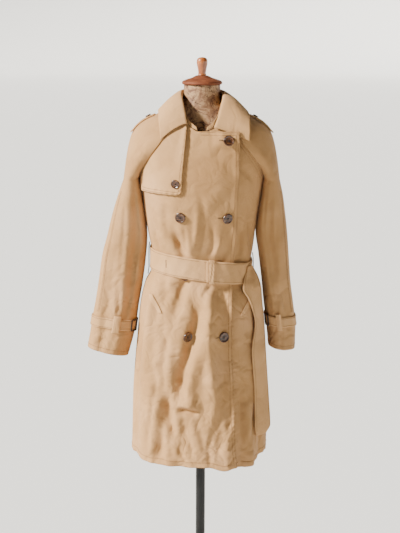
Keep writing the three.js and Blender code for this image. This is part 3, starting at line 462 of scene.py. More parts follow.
# %% The sections, the folds and the creases
TORSO = curves("level right left front back square", [
    (430, 184, 172, 142, 130, 2.3), (609, 180, 172, 139, 129, 2.3), (700, 174, 167, 135, 127, 2.3),
    (765, 168, 163, 131, 124, 2.3), (851, 159, 156, 124, 116, 2.3), (901, 146, 143, 114, 104, 2.3),
    (932, 130, 129, 105, 92, 2.3), (962, 129, 128, 104, 91, 2.3),
    (990, 129.5, 128.5, 104.5, 91, 2.3), (1014, 134, 133, 109, 93, 2.3),
    (1086, 145, 143, 119, 101, 2.3), (1138, 152, 152, 126, 107, 2.3),
    (1190, 160, 160, 128, 112, 2.3), (1216, 166, 166, 126, 113, 2.3),
    (1256, 174, 173, 120, 111, 2.3), (1290, 179, 178, 110, 106, 2.3),
    (1311, 172, 172, 99, 99, 2.3), (1334, 140, 140, 84, 88, 2.2), (1347, 107, 107, 74, 80, 2.1),
    (1368, 66, 66, 56, 66, 2.0), (1385, 56, 56, 50, 58, 2.0)])
HEM = curves("angle rise", [
    (-180, 10), (-90, 18), (-60, 14), (-40, 10), (-14, 9), (4, 9), (17, 0), (27, 5), (38, 1),
    (56, 12), (90, 20), (135, 8), (180, 10)])["rise"]

# top angle, foot angle, top, foot, width, height, fade at the top, fade at the foot
FOLDS = [
    (-31, -17, 1105, 975, 15, -11, 90, 12), (-12, -9, 1085, 970, 12, 7, 80, 12),
    (8, 5, 1160, 975, 16, -4, 120, 12), (24, 20, 1090, 975, 14, -6, 90, 12),
    (52, 44, 1150, 975, 16, -6, 120, 12), (-62, -54, 1130, 975, 16, -6, 120, 12),
    (-16, -27, 938, 790, 14, -15, 8, 130), (3, 9, 936, 540, 15, 11, 60, 170),
    (19, 20, 936, 620, 15, -6, 10, 160), (-50, -56, 936, 560, 22, 7, 70, 240),
    (-30, -33, 690, 420, 19, -12, 90, 60), (-9, -16, 640, 400, 16, -7, 110, 1),
    (14, 22, 650, 400, 18, 7, 120, 1), (27, 10, 700, 470, 11, -7, 90, 60),
    (36, 35, 760, 400, 12, -7, 160, 1), (44, 46, 640, 400, 15, 9, 160, 1),
    (62, 66, 900, 400, 20, -7, 90, 1), (-72, -70, 900, 400, 22, -7, 120, 1),
    (88, 90, 930, 400, 24, 3, 90, 1), (112, 116, 930, 400, 22, -12, 30, 1),
    (138, 136, 930, 400, 22, 9, 60, 1), (162, 158, 930, 400, 22, -13, 30, 1),
    (184, 186, 930, 400, 22, 10, 60, 1), (208, 210, 930, 400, 22, -12, 30, 1),
    (232, 228, 930, 400, 22, 8, 60, 1), (254, 252, 930, 400, 20, -9, 30, 1),
    (150, 156, 1130, 985, 18, -7, 110, 12), (180, 180, 1110, 985, 18, 5, 110, 12),
    (208, 203, 1130, 985, 18, -7, 110, 12)]
FOLD_RADIUS = 160           # turns an angle into a width along the cloth
FOLD_SCALE = 1.25
CREASE_SCALE = 1.5
BELT_GRIP = 40              # how far above and below the belt it presses the folds flat

# Creases on the front: x and height of one end, x and height of the other, width, depth. A
# negative depth is a ridge.
FRONT_CREASES = [
    # chest and bodice, wearer's right
    (-4, 1160, 0, 1000, 7, 1.6), (-20, 1120, -10, 1010, 6, -1.4), (-98, 1130, -70, 1010, 9, 2.2),
    (-112, 1100, -96, 1000, 7, 1.8), (-118, 1160, -84, 1132, 6, 1.6), (-128, 1190, -96, 1150, 6, 1.4),
    (-84, 1064, -58, 1006, 7, 2.0), (-48, 1070, -34, 1000, 5, 1.6), (-70, 1030, -30, 1002, 5, 1.8),
    (78, 1190, 30, 1262, 18, 1.4),
    (62, 1150, 30, 1104, 13, 1.2), (80, 1060, 60, 1004, 7, 2.2), (30, 1076, 22, 1000, 6, 1.8),
    (46, 1050, 36, 1000, 5, -1.6), (80, 1120, 70, 1090, 6, 1.2),
    # bodice, wearer's left
    (100, 1150, 112, 1004, 8, 2.2), (132, 1130, 122, 1000, 7, 2.0), (104, 1230, 128, 1180, 8, 1.6),
    (100, 1080, 96, 1000, 6, 1.6),
    # below the belt
    (-57, 936, -88, 880, 9, 3.0), (-36, 930, -52, 850, 8, 2.0), (24, 926, 4, 892, 6, 2.6),
    (40, 920, 52, 850, 8, 2.0), (-84, 930, -100, 860, 8, 2.0), (60, 922, 66, 862, 7, 2.0),
    (-118, 900, -120, 800, 9, 1.6),
    # the middle of the skirt
    (-48, 600, -14, 900, 15, 12.0), (-50, 640, -34, 780, 7, 2.6), (-100, 830, -78, 742, 8, 1.8),
    (-78, 800, -104, 700, 8, 2.2),
    (-56, 770, -84, 640, 9, 2.4), (-112, 740, -92, 650, 7, 1.8), (-60, 690, -34, 628, 8, 2.2),
    (-4, 598, -62, 596, 9, 9.0), (-8, 640, -18, 600, 6, 2.0),
    (50, 770, 44, 640, 12, 1.8), (34, 560, 60, 640, 9, 2.6),
    (66, 740, 30, 520, 9, 3.2), (78, 640, 44, 462, 7, 2.6), (60, 560, 36, 450, 6, -2.2),
    # towards the hem
    (-94, 640, -66, 520, 14, 11.0), (-70, 560, -80, 446, 9, 2.6), (-40, 580, -28, 446, 9, 2.4),
    (-6, 580, 6, 446, 8, 2.2), (-108, 600, -112, 446, 10, 2.2), (-132, 700, -126, 460, 7, 2.4),
    (22, 540, 28, 446, 7, 2.0), (-30, 510, 4, 470, 6, 1.8), (-56, 500, -40, 446, 6, 2.0),
    (88, 500, 70, 470, 4, 1.6), (88, 540, 68, 516, 4, 1.4), (86, 580, 66, 560, 4, 1.2),
    (86, 480, 74, 452, 4, 1.6), (84, 620, 66, 604, 4, 1.1), (86, 520, 70, 494, 4, 1.3),
    # skirt, wearer's left
    (100, 760, 96, 446, 9, 3.4), (118, 700, 122, 446, 9, 2.4), (146, 820, 140, 450, 9, 2.6),
    (104, 860, 128, 780, 8, 2.0)]
# The same on the back
BACK_CREASES = [
    (-100, 1180, -60, 1010, 10, 2.2), (96, 1176, 62, 1010, 10, 2.0), (-40, 1120, -30, 1000, 8, 1.8),
    (20, 1110, 24, 1000, 8, 1.8), (-120, 1220, -80, 1160, 8, 1.8), (118, 1216, 84, 1160, 8, 1.8),
    (-112, 930, -104, 760, 9, 2.2), (-60, 930, -66, 700, 10, 2.4), (0, 926, 6, 720, 10, 2.2),
    (58, 930, 66, 740, 9, 2.2), (110, 926, 100, 700, 9, 2.2), (-30, 820, -24, 560, 10, 2.0),
    (34, 800, 30, 520, 10, 2.2), (-92, 700, -100, 450, 9, 2.2), (90, 660, 84, 450, 9, 2.2),
    (-46, 600, -40, 450, 8, 2.0), (10, 580, 4, 450, 8, 2.0), (-64, 660, -20, 640, 7, 1.4)]


RAGLAN = curves("share frontX frontZ backX backZ", [
    (0, 54, 1365, 60, 1367), (0.25, 76, 1330, 82, 1335), (0.5, 100, 1290, 106, 1296),
    (0.75, 130, 1248, 130, 1250), (0.875, 148, 1219, 146, 1221), (1, 160, 1190, 160, 1190)])
FRONT_EDGE = curves("level x", [
    (430, 95), (500, 89), (560, 87), (660, 84), (760, 80), (920, 79), (960, 80), (1080, 88),
    (1140, 90), (1200, 93), (1290, 91), (1312, 90)])["x"]


def fold_height(angle, level):
    """The sum of all folds: each is a hill across its own slanting line, faded at both ends."""
    total = np.zeros(np.broadcast(angle, level).shape)
    for top_angle, foot_angle, top, foot, width, height, fade_top, fade_foot in FOLDS:
        middle = mix(top_angle, foot_angle, np.clip((top - level) / (top - foot), 0, 1))
        turn = np.mod(angle - middle + 540, 360) - 180
        across = np.radians(turn) * FOLD_RADIUS / width
        ends = fade(0, fade_top, top - level) * fade(0, fade_foot, level - foot)
        total = total + FOLD_SCALE * height * ends * hill(across)
    grip = np.exp(-((level - BELT_LEVEL) / BELT_GRIP) ** 4)
    return np.where(total > 0, total * (1 - grip), total * (1 - 0.6 * grip))


def crease_height(x, level, rows):
    """The sum of all creases: a trough whose sides rise a little, bent and faded at its ends."""
    total = np.zeros(np.broadcast(x, level).shape)
    for k, (x0, z0, x1, z1, width, depth) in enumerate(rows):
        run = np.hypot(x1 - x0, z1 - z0)
        along = ((x - x0) * (x1 - x0) + (level - z0) * (z1 - z0)) / run ** 2
        across = ((x - x0) * (z1 - z0) - (level - z0) * (x1 - x0)) / run
        across = across + 0.05 * run * np.sin(np.pi * np.clip(along, 0, 1) * 1.3 + k)
        ends = fade(-0.12, 0.3, along) * fade(1.12, 0.7, along)
        shape = hill(across / width) - 0.55 * hill((across - 1.9 * width) / (1.3 * width))
        total = total - CREASE_SCALE * depth * ends * shape
    return total


def hem_ripple(angle, level):
    """Small uneven puckers along the hem's stitching."""
    near = 1 - fade(HEM_LEVEL + 4, HEM_LEVEL + 42, level)
    wave = np.sin(np.radians(angle) * 31 + 1.5 * np.sin(np.radians(angle) * 9))
    return 0.9 * near * wave


def edge_pucker(x, level):
    """Short slanting ripples along the topstitched front edge, strongest below the hip."""
    inset = FRONT_EDGE(level) - x
    near = (inset > -1) * fade(13, 2, inset)
    strength = 0.25 + 0.55 * fade(900, 640, level)
    return near * strength * np.sin(level * 2 * np.pi / 11 + inset * 0.35 + np.sin(level * 0.05))


def coat(angle, level, out=0.0, folded=True):
    """A point on the coat's outer face, moved out by a distance along the section's normal."""
    angle, level, out = np.broadcast_arrays(angle, level, out)
    sine, cosine = np.sin(np.radians(angle)), np.cos(np.radians(angle))
    wide = np.where(sine < 0, TORSO["right"](level), TORSO["left"](level))
    deep = np.where(cosine > 0, TORSO["front"](level), TORSO["back"](level))
    power = 2 / TORSO["square"](level)
    normal = unit(stack(sine / wide, -cosine / deep, np.zeros_like(wide)))
    x = np.sign(sine) * wide * np.abs(sine) ** power
    y = -np.sign(cosine) * deep * np.abs(cosine) ** power
    turned = np.mod(angle + 540, 360) - 180
    z = level + HEM(turned) * (1 - fade(HEM_LEVEL, HEM_LEVEL + 130, level))
    z = z - BELT_TILT * x * hill((level - BELT_LEVEL) / BELT_REACH)
    height = 0.0
    if folded:
        grip = 1 - np.exp(-((level - BELT_LEVEL) / (0.7 * BELT_GRIP)) ** 4)
        front = crease_height(x, level, FRONT_CREASES) * (cosine > 0)
        rear = crease_height(x, level, BACK_CREASES) * (cosine <= 0)
        side = fade(0, 0.25, np.abs(cosine))
        height = fold_height(angle, level) + (front + rear) * side * grip
        height = height + hem_ripple(angle, level) + edge_pucker(x, level) * (cosine > 0) * grip
    return stack(x, y, z) + normal * (height + out)[..., None]


def angle_at(x, level, face=1):
    """The angle of a point that lies x to the side, on the front (1) or the back (-1)."""
    x, level = np.broadcast_arrays(np.asarray(x, float), np.asarray(level, float))
    wide = np.where(x < 0, TORSO["right"](level), TORSO["left"](level))
    part = np.minimum(1, np.abs(x) / wide) ** (TORSO["square"](level) / 2)
    turn = np.degrees(np.sign(x) * np.arcsin(part))
    return turn if face > 0 else 180 - turn


def coat_at(x, level, out=0.0, face=1):
    return coat(angle_at(x, level, face), level, out)


CORNER_LIFT = 9             # of the right front's top corner
EDGE_LIFT = 2.2             # of the right front's edge


def corner_lift(x, level):
    """The right front's edge stands up a little, and its top corner lies over the collar's end."""
    edge = EDGE_LIFT * fade(20, 3, FRONT_EDGE(level) - x) * (x > 0)
    return edge + CORNER_LIFT * fade(22, 52, x) * fade(1262, 1292, level)


def border(rows):
    """A border curve: for a share it gives x and level."""
    data = np.array(rows, float)
    x, level = curve(data[:, 0], data[:, 1]), curve(data[:, 0], data[:, 2])
    return lambda share: (x(share), level(share))


def patch(side, far, foot, head, s, r):
    """A patch between four borders: the blend of each pair less the blend of the corners."""
    result = []
    for k in (0, 1):
        result.append(
            (1 - s) * side(r)[k] + s * far(r)[k] + (1 - r) * foot(s)[k] + r * head(s)[k]
            - (1 - s) * (1 - r) * side(0)[k] - s * (1 - r) * far(0)[k]
            - (1 - s) * r * side(1)[k] - s * r * far(1)[k])
    return result


def foot_at(angles):
    x = coat(angles, ARMPIT_LEVEL, 0, folded=False)[..., 0]
    shares = np.linspace(0, 1, len(angles))
    return x, lambda s: (np.interp(s, shares, x), np.full(np.shape(s), float(ARMPIT_LEVEL)))


LOW_LEVELS = np.arange(HEM_LEVEL, ARMPIT_LEVEL - 1, 3.0)
UPPER = np.linspace(0, 1, 56)
print("coat surface ready")

# %% The right front, the left front under it, and the back
SIDE_PART = 58              # columns from the side seam to the overlap
OVER_PART = 44              # columns across the overlap


def overlap_angle(share, level):
    return mix(angle_at(UNDERLAP_X, level), angle_at(FRONT_EDGE(level), level), share)


def upper_part(side, far, foot, head, columns, out, face=1):
    s, r = np.meshgrid(np.linspace(0, 1, columns), UPPER)
    x, level = patch(side, far, foot, head, s, r)
    return coat_at(x, level, out(x, level), face)


def front_right():
    shares = np.linspace(0, 1, SIDE_PART + 1)[:-1]
    over = np.linspace(0, 1, OVER_PART)

    def angles(level):
        level = np.asarray(level, float)[..., None]
        side = mix(-SIDE_ANGLE, angle_at(UNDERLAP_X, level), shares)
        return np.concatenate([side, overlap_angle(over, level)], axis=-1)
    turn = angles(LOW_LEVELS)
    flat_x = coat(turn, LOW_LEVELS[:, None], 0, folded=False)[..., 0]
    low = coat(turn, LOW_LEVELS[:, None], corner_lift(flat_x, LOW_LEVELS[:, None]))
    foot_x, foot = foot_at(angles(ARMPIT_LEVEL))

    def side(r):
        x = np.where(np.asarray(r) == 0, foot_x[0], -RAGLAN["frontX"](1 - r))
        return x, RAGLAN["frontZ"](1 - np.asarray(r, float))
    head = border([(0, -54, 1365), (0.12, -49, 1352), (0.24, -42, 1338), (0.34, -34, 1328),
                   (0.43, -24, 1319), (0.52, -9, 1311.5), (0.7, 30, 1311.5), (0.85, 62, 1312),
                   (1, 90, 1312)])

    def far(r):
        level = mix(ARMPIT_LEVEL, FRONT_TOP, np.asarray(r, float))
        return FRONT_EDGE(level), level
    high = upper_part(side, far, foot, head, len(foot_x), corner_lift)
    return np.concatenate([low, high])


UNDER_DEPTH = CLOTH + 1.0   # how far the left front lies inside the right one
UNDER_PART = 26             # columns under the right front
UNDER_RISE = 16             # width over which it rises from there
LEFT_PART = 40              # columns from there to the side seam


def front_left():
    over = np.linspace(0, 1, UNDER_PART)
    rest = np.linspace(0, 1, LEFT_PART)

    def angles(level):
        level = np.asarray(level, float)[..., None]
        start = angle_at(FRONT_EDGE(level) + UNDER_RISE, level)
        return np.concatenate([overlap_angle(over, level), mix(start, SIDE_ANGLE, rest)], axis=-1)
    depth = np.concatenate([np.full(UNDER_PART, -UNDER_DEPTH), np.zeros(LEFT_PART)])
    low = coat(angles(LOW_LEVELS), LOW_LEVELS[:, None], depth)
    foot_x, foot = foot_at(angles(ARMPIT_LEVEL))

    def side(r):
        level = mix(ARMPIT_LEVEL, UNDERLAP_TOP, np.asarray(r, float))
        return np.full_like(level, UNDERLAP_X), level
    head = border([(0, -45, 1303), (0.25, -15, 1303), (0.42, 9, 1308), (0.58, 28, 1322),
                   (0.76, 42, 1338), (1, 54, 1365)])

    def far(r):
        x = np.where(np.asarray(r) == 0, foot_x[-1], RAGLAN["frontX"](1 - r))
        return x, RAGLAN["frontZ"](1 - np.asarray(r, float))

    def out(x, level):
        edge = FRONT_EDGE(level)
        return -UNDER_DEPTH * (1 - fade(edge, edge + UNDER_RISE, x))
    high = upper_part(side, far, foot, head, len(foot_x), out)
    return np.concatenate([low, high])


BACK_PART = 110


def back():
    turn = np.linspace(180 - SIDE_ANGLE, 180 + SIDE_ANGLE, BACK_PART)
    low = coat(turn, LOW_LEVELS[:, None], 0)
    foot_x, foot = foot_at(turn)

    def edge(sign, end):
        def at(r):
            x = np.where(np.asarray(r) == 0, foot_x[end], sign * RAGLAN["backX"](1 - r))
            return x, RAGLAN["backZ"](1 - np.asarray(r, float))
        return at
    head = border([(0, 60, 1367), (0.25, 36, 1370), (0.5, 0, 1371), (0.75, -36, 1370),
                   (1, -60, 1367)])
    high = upper_part(edge(1, 0), edge(-1, -1), foot, head, BACK_PART,
                      lambda x, level: np.zeros_like(x), -1)
    return np.concatenate([low, high])


right_grid, left_grid, back_grid = front_right(), front_left(), back()
shell("coat_front_right", right_grid, CLOTH, cloth, ["front_right"])
shell("coat_front_left", left_grid, CLOTH, cloth, ["front_left"])
shell("coat_back", back_grid, CLOTH, cloth, ["back"])

# %% [markdown]
# ## Sleeves
# Above the armpit a sleeve runs from the shoulder line round to the raglan seam. Below it each row
# is a flattened ring between an outer and an inner edge, with long creases pressed into it.

# %% Sleeve sizes, creases and grids
SHOULDER = curves("share x z turn frontBulge backBulge", [
    (0, 65, 1369, 78, 36, 30), (0.125, 90, 1357, 78, 62, 62), (0.25, 115, 1346, 80, 76, 80),
    (0.375, 140, 1335, 82, 86, 90), (0.5, 162, 1320, 86, 92, 94), (0.625, 177, 1300, 94, 87, 90),
    (0.75, 187, 1268, 112, 80, 86), (0.875, 194, 1228, 144, 72, 79), (1, 200, 1182, 180, 68, 74)])
RIDGE_Y = 3                 # the shoulder line's place from front to back
SLEEVE_COLUMNS = "share outerX outerZ innerX innerZ front back middle"
RIGHT_SLEEVE = curves(SLEEVE_COLUMNS, [
    (0, 200, 1182, 158, 1190, 68, 74, 3), (0.1, 216, 1136, 152, 1143, 63, 66, 3),
    (0.2, 230, 1090, 144.8, 1094, 58, 58, 3), (0.33, 245, 1030, 140, 1030, 48, 48, 2),
    (0.45, 258, 980, 144, 976, 40, 40, 1), (0.6, 268, 912, 153.5, 905, 40, 40, 0),
    (0.72, 277, 858, 163.5, 848, 40, 40, -1), (0.82, 286, 812, 170, 800, 39, 39, -2),
    (0.88, 290, 786, 176, 772, 39, 39, -2), (1, 299, 737, 192, 714, 41, 41, -3)])
LEFT_SLEEVE = curves(SLEEVE_COLUMNS, [
    (0, 200, 1182, 158, 1190, 68, 74, 3), (0.1, 209, 1142, 152, 1148, 66, 70, 3),
    (0.2, 215, 1102, 145, 1106, 66, 64, 3), (0.33, 222, 1045, 140, 1047, 60, 58, 3),
    (0.45, 227, 988, 148, 988, 55, 55, 4), (0.6, 233, 916, 157, 918, 55, 55, 5),
    (0.72, 241, 858, 163, 862, 55, 55, 6), (0.82, 247, 812, 169, 818, 54, 54, 6),
    (0.88, 249, 786, 172, 792, 54, 54, 6), (1, 248, 735, 177, 742, 55, 55, 6)])

# face, top, foot, across at the top, across at the foot, width, depth (negative is a ridge)
RIGHT_CREASES = [
    (1, 0.05, 0.84, 0.7, 0.76, 0.09, 11), (1, 0.3, 1.1, 0.28, 0.36, 0.12, 7),
    (-1, 0.1, 0.9, 0.45, 0.5, 0.13, 12),
    (1, 0.0, 0.5, 0.7, 0.86, 0.05, 3.5), (1, 0.08, 0.62, 0.36, 0.5, 0.05, 2.6),
    (1, 0.28, 0.8, 0.14, 0.2, 0.05, 2.2), (1, 0.55, 0.8, 0.42, 0.62, 0.05, 3.2),
    (1, 0.62, 0.8, 0.2, 0.42, 0.05, 2.6), (1, 0.66, 0.79, 0.8, 0.7, 0.05, 3.4),
    (1, 0.7, 0.8, 0.58, 0.5, 0.04, 2.8), (1, 0.72, 0.8, 0.3, 0.24, 0.04, 2.6),
    (1, 0.85, 1.02, 0.6, 0.52, 0.06, 2.6), (1, 0.86, 1.02, 0.3, 0.34, 0.06, 2.2),
    (-1, 0.2, 0.7, 0.2, 0.3, 0.06, 3), (-1, 0.35, 0.8, 0.7, 0.76, 0.06, 3),
    (-1, 0.7, 0.8, 0.35, 0.4, 0.05, 3), (-1, 0.85, 1.02, 0.5, 0.46, 0.06, 2.6)]
LEFT_CREASES = [
    (1, 0.05, 0.8, 0.62, 0.5, 0.14, 12), (1, 0.4, 1.1, 0.3, 0.26, 0.14, 7),
    (-1, 0.1, 0.9, 0.4, 0.5, 0.13, 12),
    (1, 0.0, 0.42, 0.82, 0.74, 0.06, 3.4), (1, 0.1, 0.52, 0.32, 0.42, 0.06, 3),
    (1, 0.34, 0.72, 0.76, 0.66, 0.05, 3), (1, 0.6, 0.8, 0.4, 0.3, 0.05, 3),
    (1, 0.66, 0.8, 0.78, 0.84, 0.05, 3), (1, 0.7, 0.8, 0.56, 0.6, 0.04, 2.6),
    (1, 0.85, 1.02, 0.5, 0.56, 0.06, 2.4),
    (-1, 0.2, 0.7, 0.2, 0.3, 0.06, 3), (-1, 0.35, 0.8, 0.7, 0.76, 0.06, 3),
    (-1, 0.7, 0.8, 0.35, 0.4, 0.05, 3)]
SLEEVE_HALF = 40            # columns in each half of a ring
BOXY = 0.75                 # below 1, the sleeve's section is fuller than a circle near the armpit
BOXY_INSIDE = 0.32          # the same on the side of the body
ARMPIT_TUCK = 36            # how far before and behind its middle the sleeve meets the body there
STRAP_TOP = 0.795           # the cuff strap's edges, as shares of the sleeve
STRAP_FOOT = 0.855


def crease_depth(creases, face, share, across):
    total = np.zeros(np.broadcast(share, across).shape)
    for side, top, foot, across_top, across_foot, width, depth in creases:
        along = (share - top) / (foot - top)
        middle = mix(across_top, across_foot, along)
        shown = (along > 0) & (along < 1) & (np.asarray(face) == side)
        total = total + np.where(
            shown, depth * np.sin(np.pi * along) * hill((across - middle) / width), 0)
    return total * np.minimum(1, 6 * across * (1 - across))


def on_sleeve(sleeve, creases, share, face, across, out):
    """A point on a sleeve below the armpit: across goes from its outer edge to its inner one."""
    deep = np.where(np.asarray(face) > 0, sleeve["front"](share), sleeve["back"](share))
    full = mix(np.where(across < 0.5, BOXY, BOXY_INSIDE), 1, fade(0, 0.55, share))
    around = np.maximum(1e-9, 1 - (1 - 2 * across) ** 2) ** (full / 2)
    bulge = (deep + out) * around - crease_depth(creases, face, share, across)
    tuck = ARMPIT_TUCK * (1 - fade(0, 0.25, share)) * fade(0.5, 1, across)
    bulge = np.maximum(bulge, tuck)
    x = mix(sleeve["outerX"](share) + out, sleeve["innerX"](share) - out, across)
    z = mix(sleeve["outerZ"](share), sleeve["innerZ"](share), across)
    return stack(x, sleeve["middle"](share) - face * bulge, z)


def sleeve_ring(sleeve, creases, shares, out=0.0):
    turn = np.linspace(0, np.pi, SLEEVE_HALF + 1)
    across = (1 - np.cos(turn)) / 2
    shares = np.asarray(shares, float)[:, None]
    front = on_sleeve(sleeve, creases, shares, 1, across, out)
    rear = on_sleeve(sleeve, creases, shares, -1, across, out)[:, ::-1]
    return np.concatenate([rear, front[:, 1:]], axis=1)


def cap_half(shares, face):
    """From the shoulder line round to the seam: an arc that is eased to end on the seam."""
    name = "front" if face > 0 else "back"
    seam_x = RAGLAN[name + "X"](shares) - SEAM_LAP
    seam = coat_at(seam_x, RAGLAN[name + "Z"](shares), CLOTH + 0.1, face)[:, None, :]
    end = np.radians(SHOULDER["turn"](shares))[:, None]
    bulge = SHOULDER[name + "Bulge"](shares)[:, None]
    ridge_x, ridge_z = SHOULDER["x"](shares)[:, None], SHOULDER["z"](shares)[:, None]
    turn = end * np.linspace(0, 1, SLEEVE_HALF + 1)
    part = (1 - np.cos(turn)) / (1 - np.cos(end))
    reach = -face * bulge
    rise = fade(0.6, 1, shares)[:, None]
    full = np.where(turn < np.pi / 2, mix(1, BOXY, rise), mix(1, BOXY_INSIDE, rise))
    miss = seam[..., 1] - RIDGE_Y - reach * np.abs(np.sin(end)) ** full[:, -1:]
    y = RIDGE_Y + reach * np.abs(np.sin(turn)) ** full + miss * part
    soft = 1.2 * np.sin(part * 9 + shares[:, None] * 5) * np.sin(np.pi * part) ** 2
    soft = soft * np.sin(np.pi * shares[:, None])
    return stack(mix(ridge_x, seam[..., 0], part), y + face * soft, mix(ridge_z, seam[..., 2], part))


def sleeve_grid(sleeve, creases):
    shares = np.linspace(0, 1, 46)[:-1]
    cap = np.concatenate([cap_half(shares, -1)[:, ::-1], cap_half(shares, 1)[:, 1:]], axis=1)
    arm = sleeve_ring(sleeve, creases, np.linspace(0, 1, 121))
    return np.concatenate([cap, arm])[::-1]


def placed(grid, sign):
    """Sets a grid on its side of the body, with its faces turned outward."""
    return grid[:, ::-1] if sign > 0 else mirrored(grid, sign)


SIDES = [("right", -1, RIGHT_SLEEVE, RIGHT_CREASES), ("left", 1, LEFT_SLEEVE, LEFT_CREASES)]
sleeve_grids = {}
for side_name, sign, sleeve, creases in SIDES:
    grid = placed(sleeve_grid(sleeve, creases), sign)
    sleeve_grids[side_name] = grid
    shell(f"coat_sleeve_{side_name}", grid, CLOTH, cloth, [f"sleeve_{side_name}"])

# %% [markdown]
# ## Form and stand
# The form is a stack of sections like the coat's. Its cap, finial, pole and base are turned.

# %% The dress form, its cap and its stand
FORM_TABLE = curves("level side front back", [
    (700, 146, 94, 92), (780, 148, 100, 96), (850, 136, 94, 88), (901, 122, 86, 80),
    (957, 110, 78, 66), (1000, 112, 80, 68), (1086, 120, 92, 78), (1138, 126, 100, 84),
    (1190, 134, 102, 90), (1216, 142, 100, 92), (1256, 156, 94, 92), (1290, 164, 84, 86),
    (1311, 158, 74, 80), (1325.6, 146, 61, 69), (1331.6, 136, 58, 65), (1343.2, 112, 53, 59),
    (1354.6, 88, 49.5, 54), (1366.6, 64, 47.5, 50.5), (1376, 52, 46.5, 48), (1388, 46, 46, 46),
    (1421, 46, 46, 46)])
form_turn = np.linspace(0, 2 * np.pi, 121)
form_levels = np.concatenate([np.linspace(700, 1300, 60), np.linspace(1303, 1421, 70)])
form_side = FORM_TABLE["side"](form_levels)[:, None]
form_deep = np.where(np.cos(form_turn) > 0, FORM_TABLE["front"](form_levels)[:, None],
                     FORM_TABLE["back"](form_levels)[:, None])
form_grid = stack(form_side * np.sin(form_turn), -form_deep * np.cos(form_turn),
                  form_levels[:, None])
form_grid = np.concatenate([form_grid[:1] * UP, form_grid, form_grid[-1:] * UP])
grid_piece("dress_form", form_grid, papier_mache, ["form_torso"])
lathe("neck_cap", rounded([
    (0.5, 1421.3), (49.6, 1421.4), (51, 1423.5), (50.9, 1426), (49.6, 1428.6), (42, 1432.4),
    (26, 1437.6), (13, 1443.2), (0.5, 1443.5)]), cap_wood, ["form_neck_cap"])
lathe("finial", rounded([
    (0.3, 1443.9), (11, 1444), (10.2, 1447), (10, 1450), (10.6, 1457), (12.6, 1467),
    (13.9, 1475), (13.4, 1481), (10, 1486.3), (5, 1488.4), (0.3, 1489)]), finial_wood,
      ["form_finial"])
lathe("pole", [(0.2, 14.4), (12.2, 14.4), (12.5, 15), (12.5, 699), (12.2, 699.6), (0.2, 699.6)],
      steel, ["stand_pole"], 48)
lathe("base", [(0.5, 0), (157, 0), (159.4, 0.8), (160, 2.4), (160, 7.6), (159.2, 9.4), (156, 11),
               (90, 12.8), (26, 13.6), (24, 14), (0.5, 14)], iron, ["stand_base"], 128)

# %% [markdown]
# ## Collar
# The fall hangs from the roll line to its outer edge and turns in over the roll to the stand.

# %% Collar fall and stand
ROLL = curves("share x y z edgeX edgeY edgeZ", [
    (0, -39, -96, 1330, -102, -104, 1291), (0.07, -43, -88, 1350, -104, -95, 1312),
    (0.16, -50, -62, 1380, -107, -74, 1339), (0.25, -55, -28, 1398, -109, -24, 1357),
    (0.33, -54, 8, 1403, -104, 28, 1354), (0.42, -34, 44, 1406, -62, 80, 1349),
    (0.5, 0, 57, 1407, 0, 97, 1343), (0.58, 34, 44, 1406, 62, 80, 1349),
    (0.67, 54, 8, 1403, 106, 28, 1354), (0.75, 57, -28, 1398, 114, -24, 1356),
    (0.84, 52, -61, 1377, 118, -76, 1336), (0.93, 43, -85, 1349, 119, -94, 1308),
    (1, 32, -98, 1321, 119, -96, 1288)])
COLLAR_STAND_IN = 4.2       # how far inside the roll line the stand lies


def roll_point(s):
    return stack(ROLL["x"](s), ROLL["y"](s), ROLL["z"](s))


def inward(points):
    return unit(stack(-points[..., 0], -points[..., 1] - 12, np.zeros(points.shape[:-1])))


def fall_grid(s):
    """Rows from the edge up to the roll line and on over it, columns by share."""
    top = roll_point(s)
    edge = stack(ROLL["edgeX"](s), ROLL["edgeY"](s), ROLL["edgeZ"](s))
    away = edge - top
    hinge = unit(away)
    raised = unit(UP - hinge * hinge[..., 2:])
    bulge = (5 * (1 - 0.8 * fade(0.84, 1, s)))[None, :, None]
    leaf = np.linspace(1, 0, 26)[:, None, None]
    wave = 0.7 * np.sin(s * 40) * np.sin(s * 17 + 1)
    lift = bulge * np.sin(np.pi * leaf ** 0.8) + (wave[:, None] * leaf ** 2)
    fall = top + away * leaf + raised * lift
    hook = mix(0.25, 1, fade(0, 0.12, s) * fade(1, 0.88, s))[None, :, None]
    turn = np.linspace(0, 1, 8)[1:, None, None]
    over = top + inward(top) * COLLAR_STAND_IN * turn * hook - UP * 6 * turn ** 3 * hook
    return np.concatenate([fall, over])


fall = fall_grid(np.linspace(0, 1, 150))
shell("collar_leaf", fall, DOUBLE_CLOTH, trim_cloth_painted_lighter, ["collar_fall"])

STAND_TABLE = curves("share x level topX topY topZ", [
    (0, -11, 1312, -13, -93, 1321), (0.07, -27, 1321, -28, -86, 1334),
    (0.14, -41, 1340, -38.5, -76, 1350), (0.24, -52, 1359, -47, -50, 1377)])
STAND_ENDS = 0.24           # the share of the stand that its table covers at each end
STAND_LIFT = 1.2            # how far the stand's foot keeps off the neck seam
STAND_DROP = 7.2            # how far below the roll line its top lies


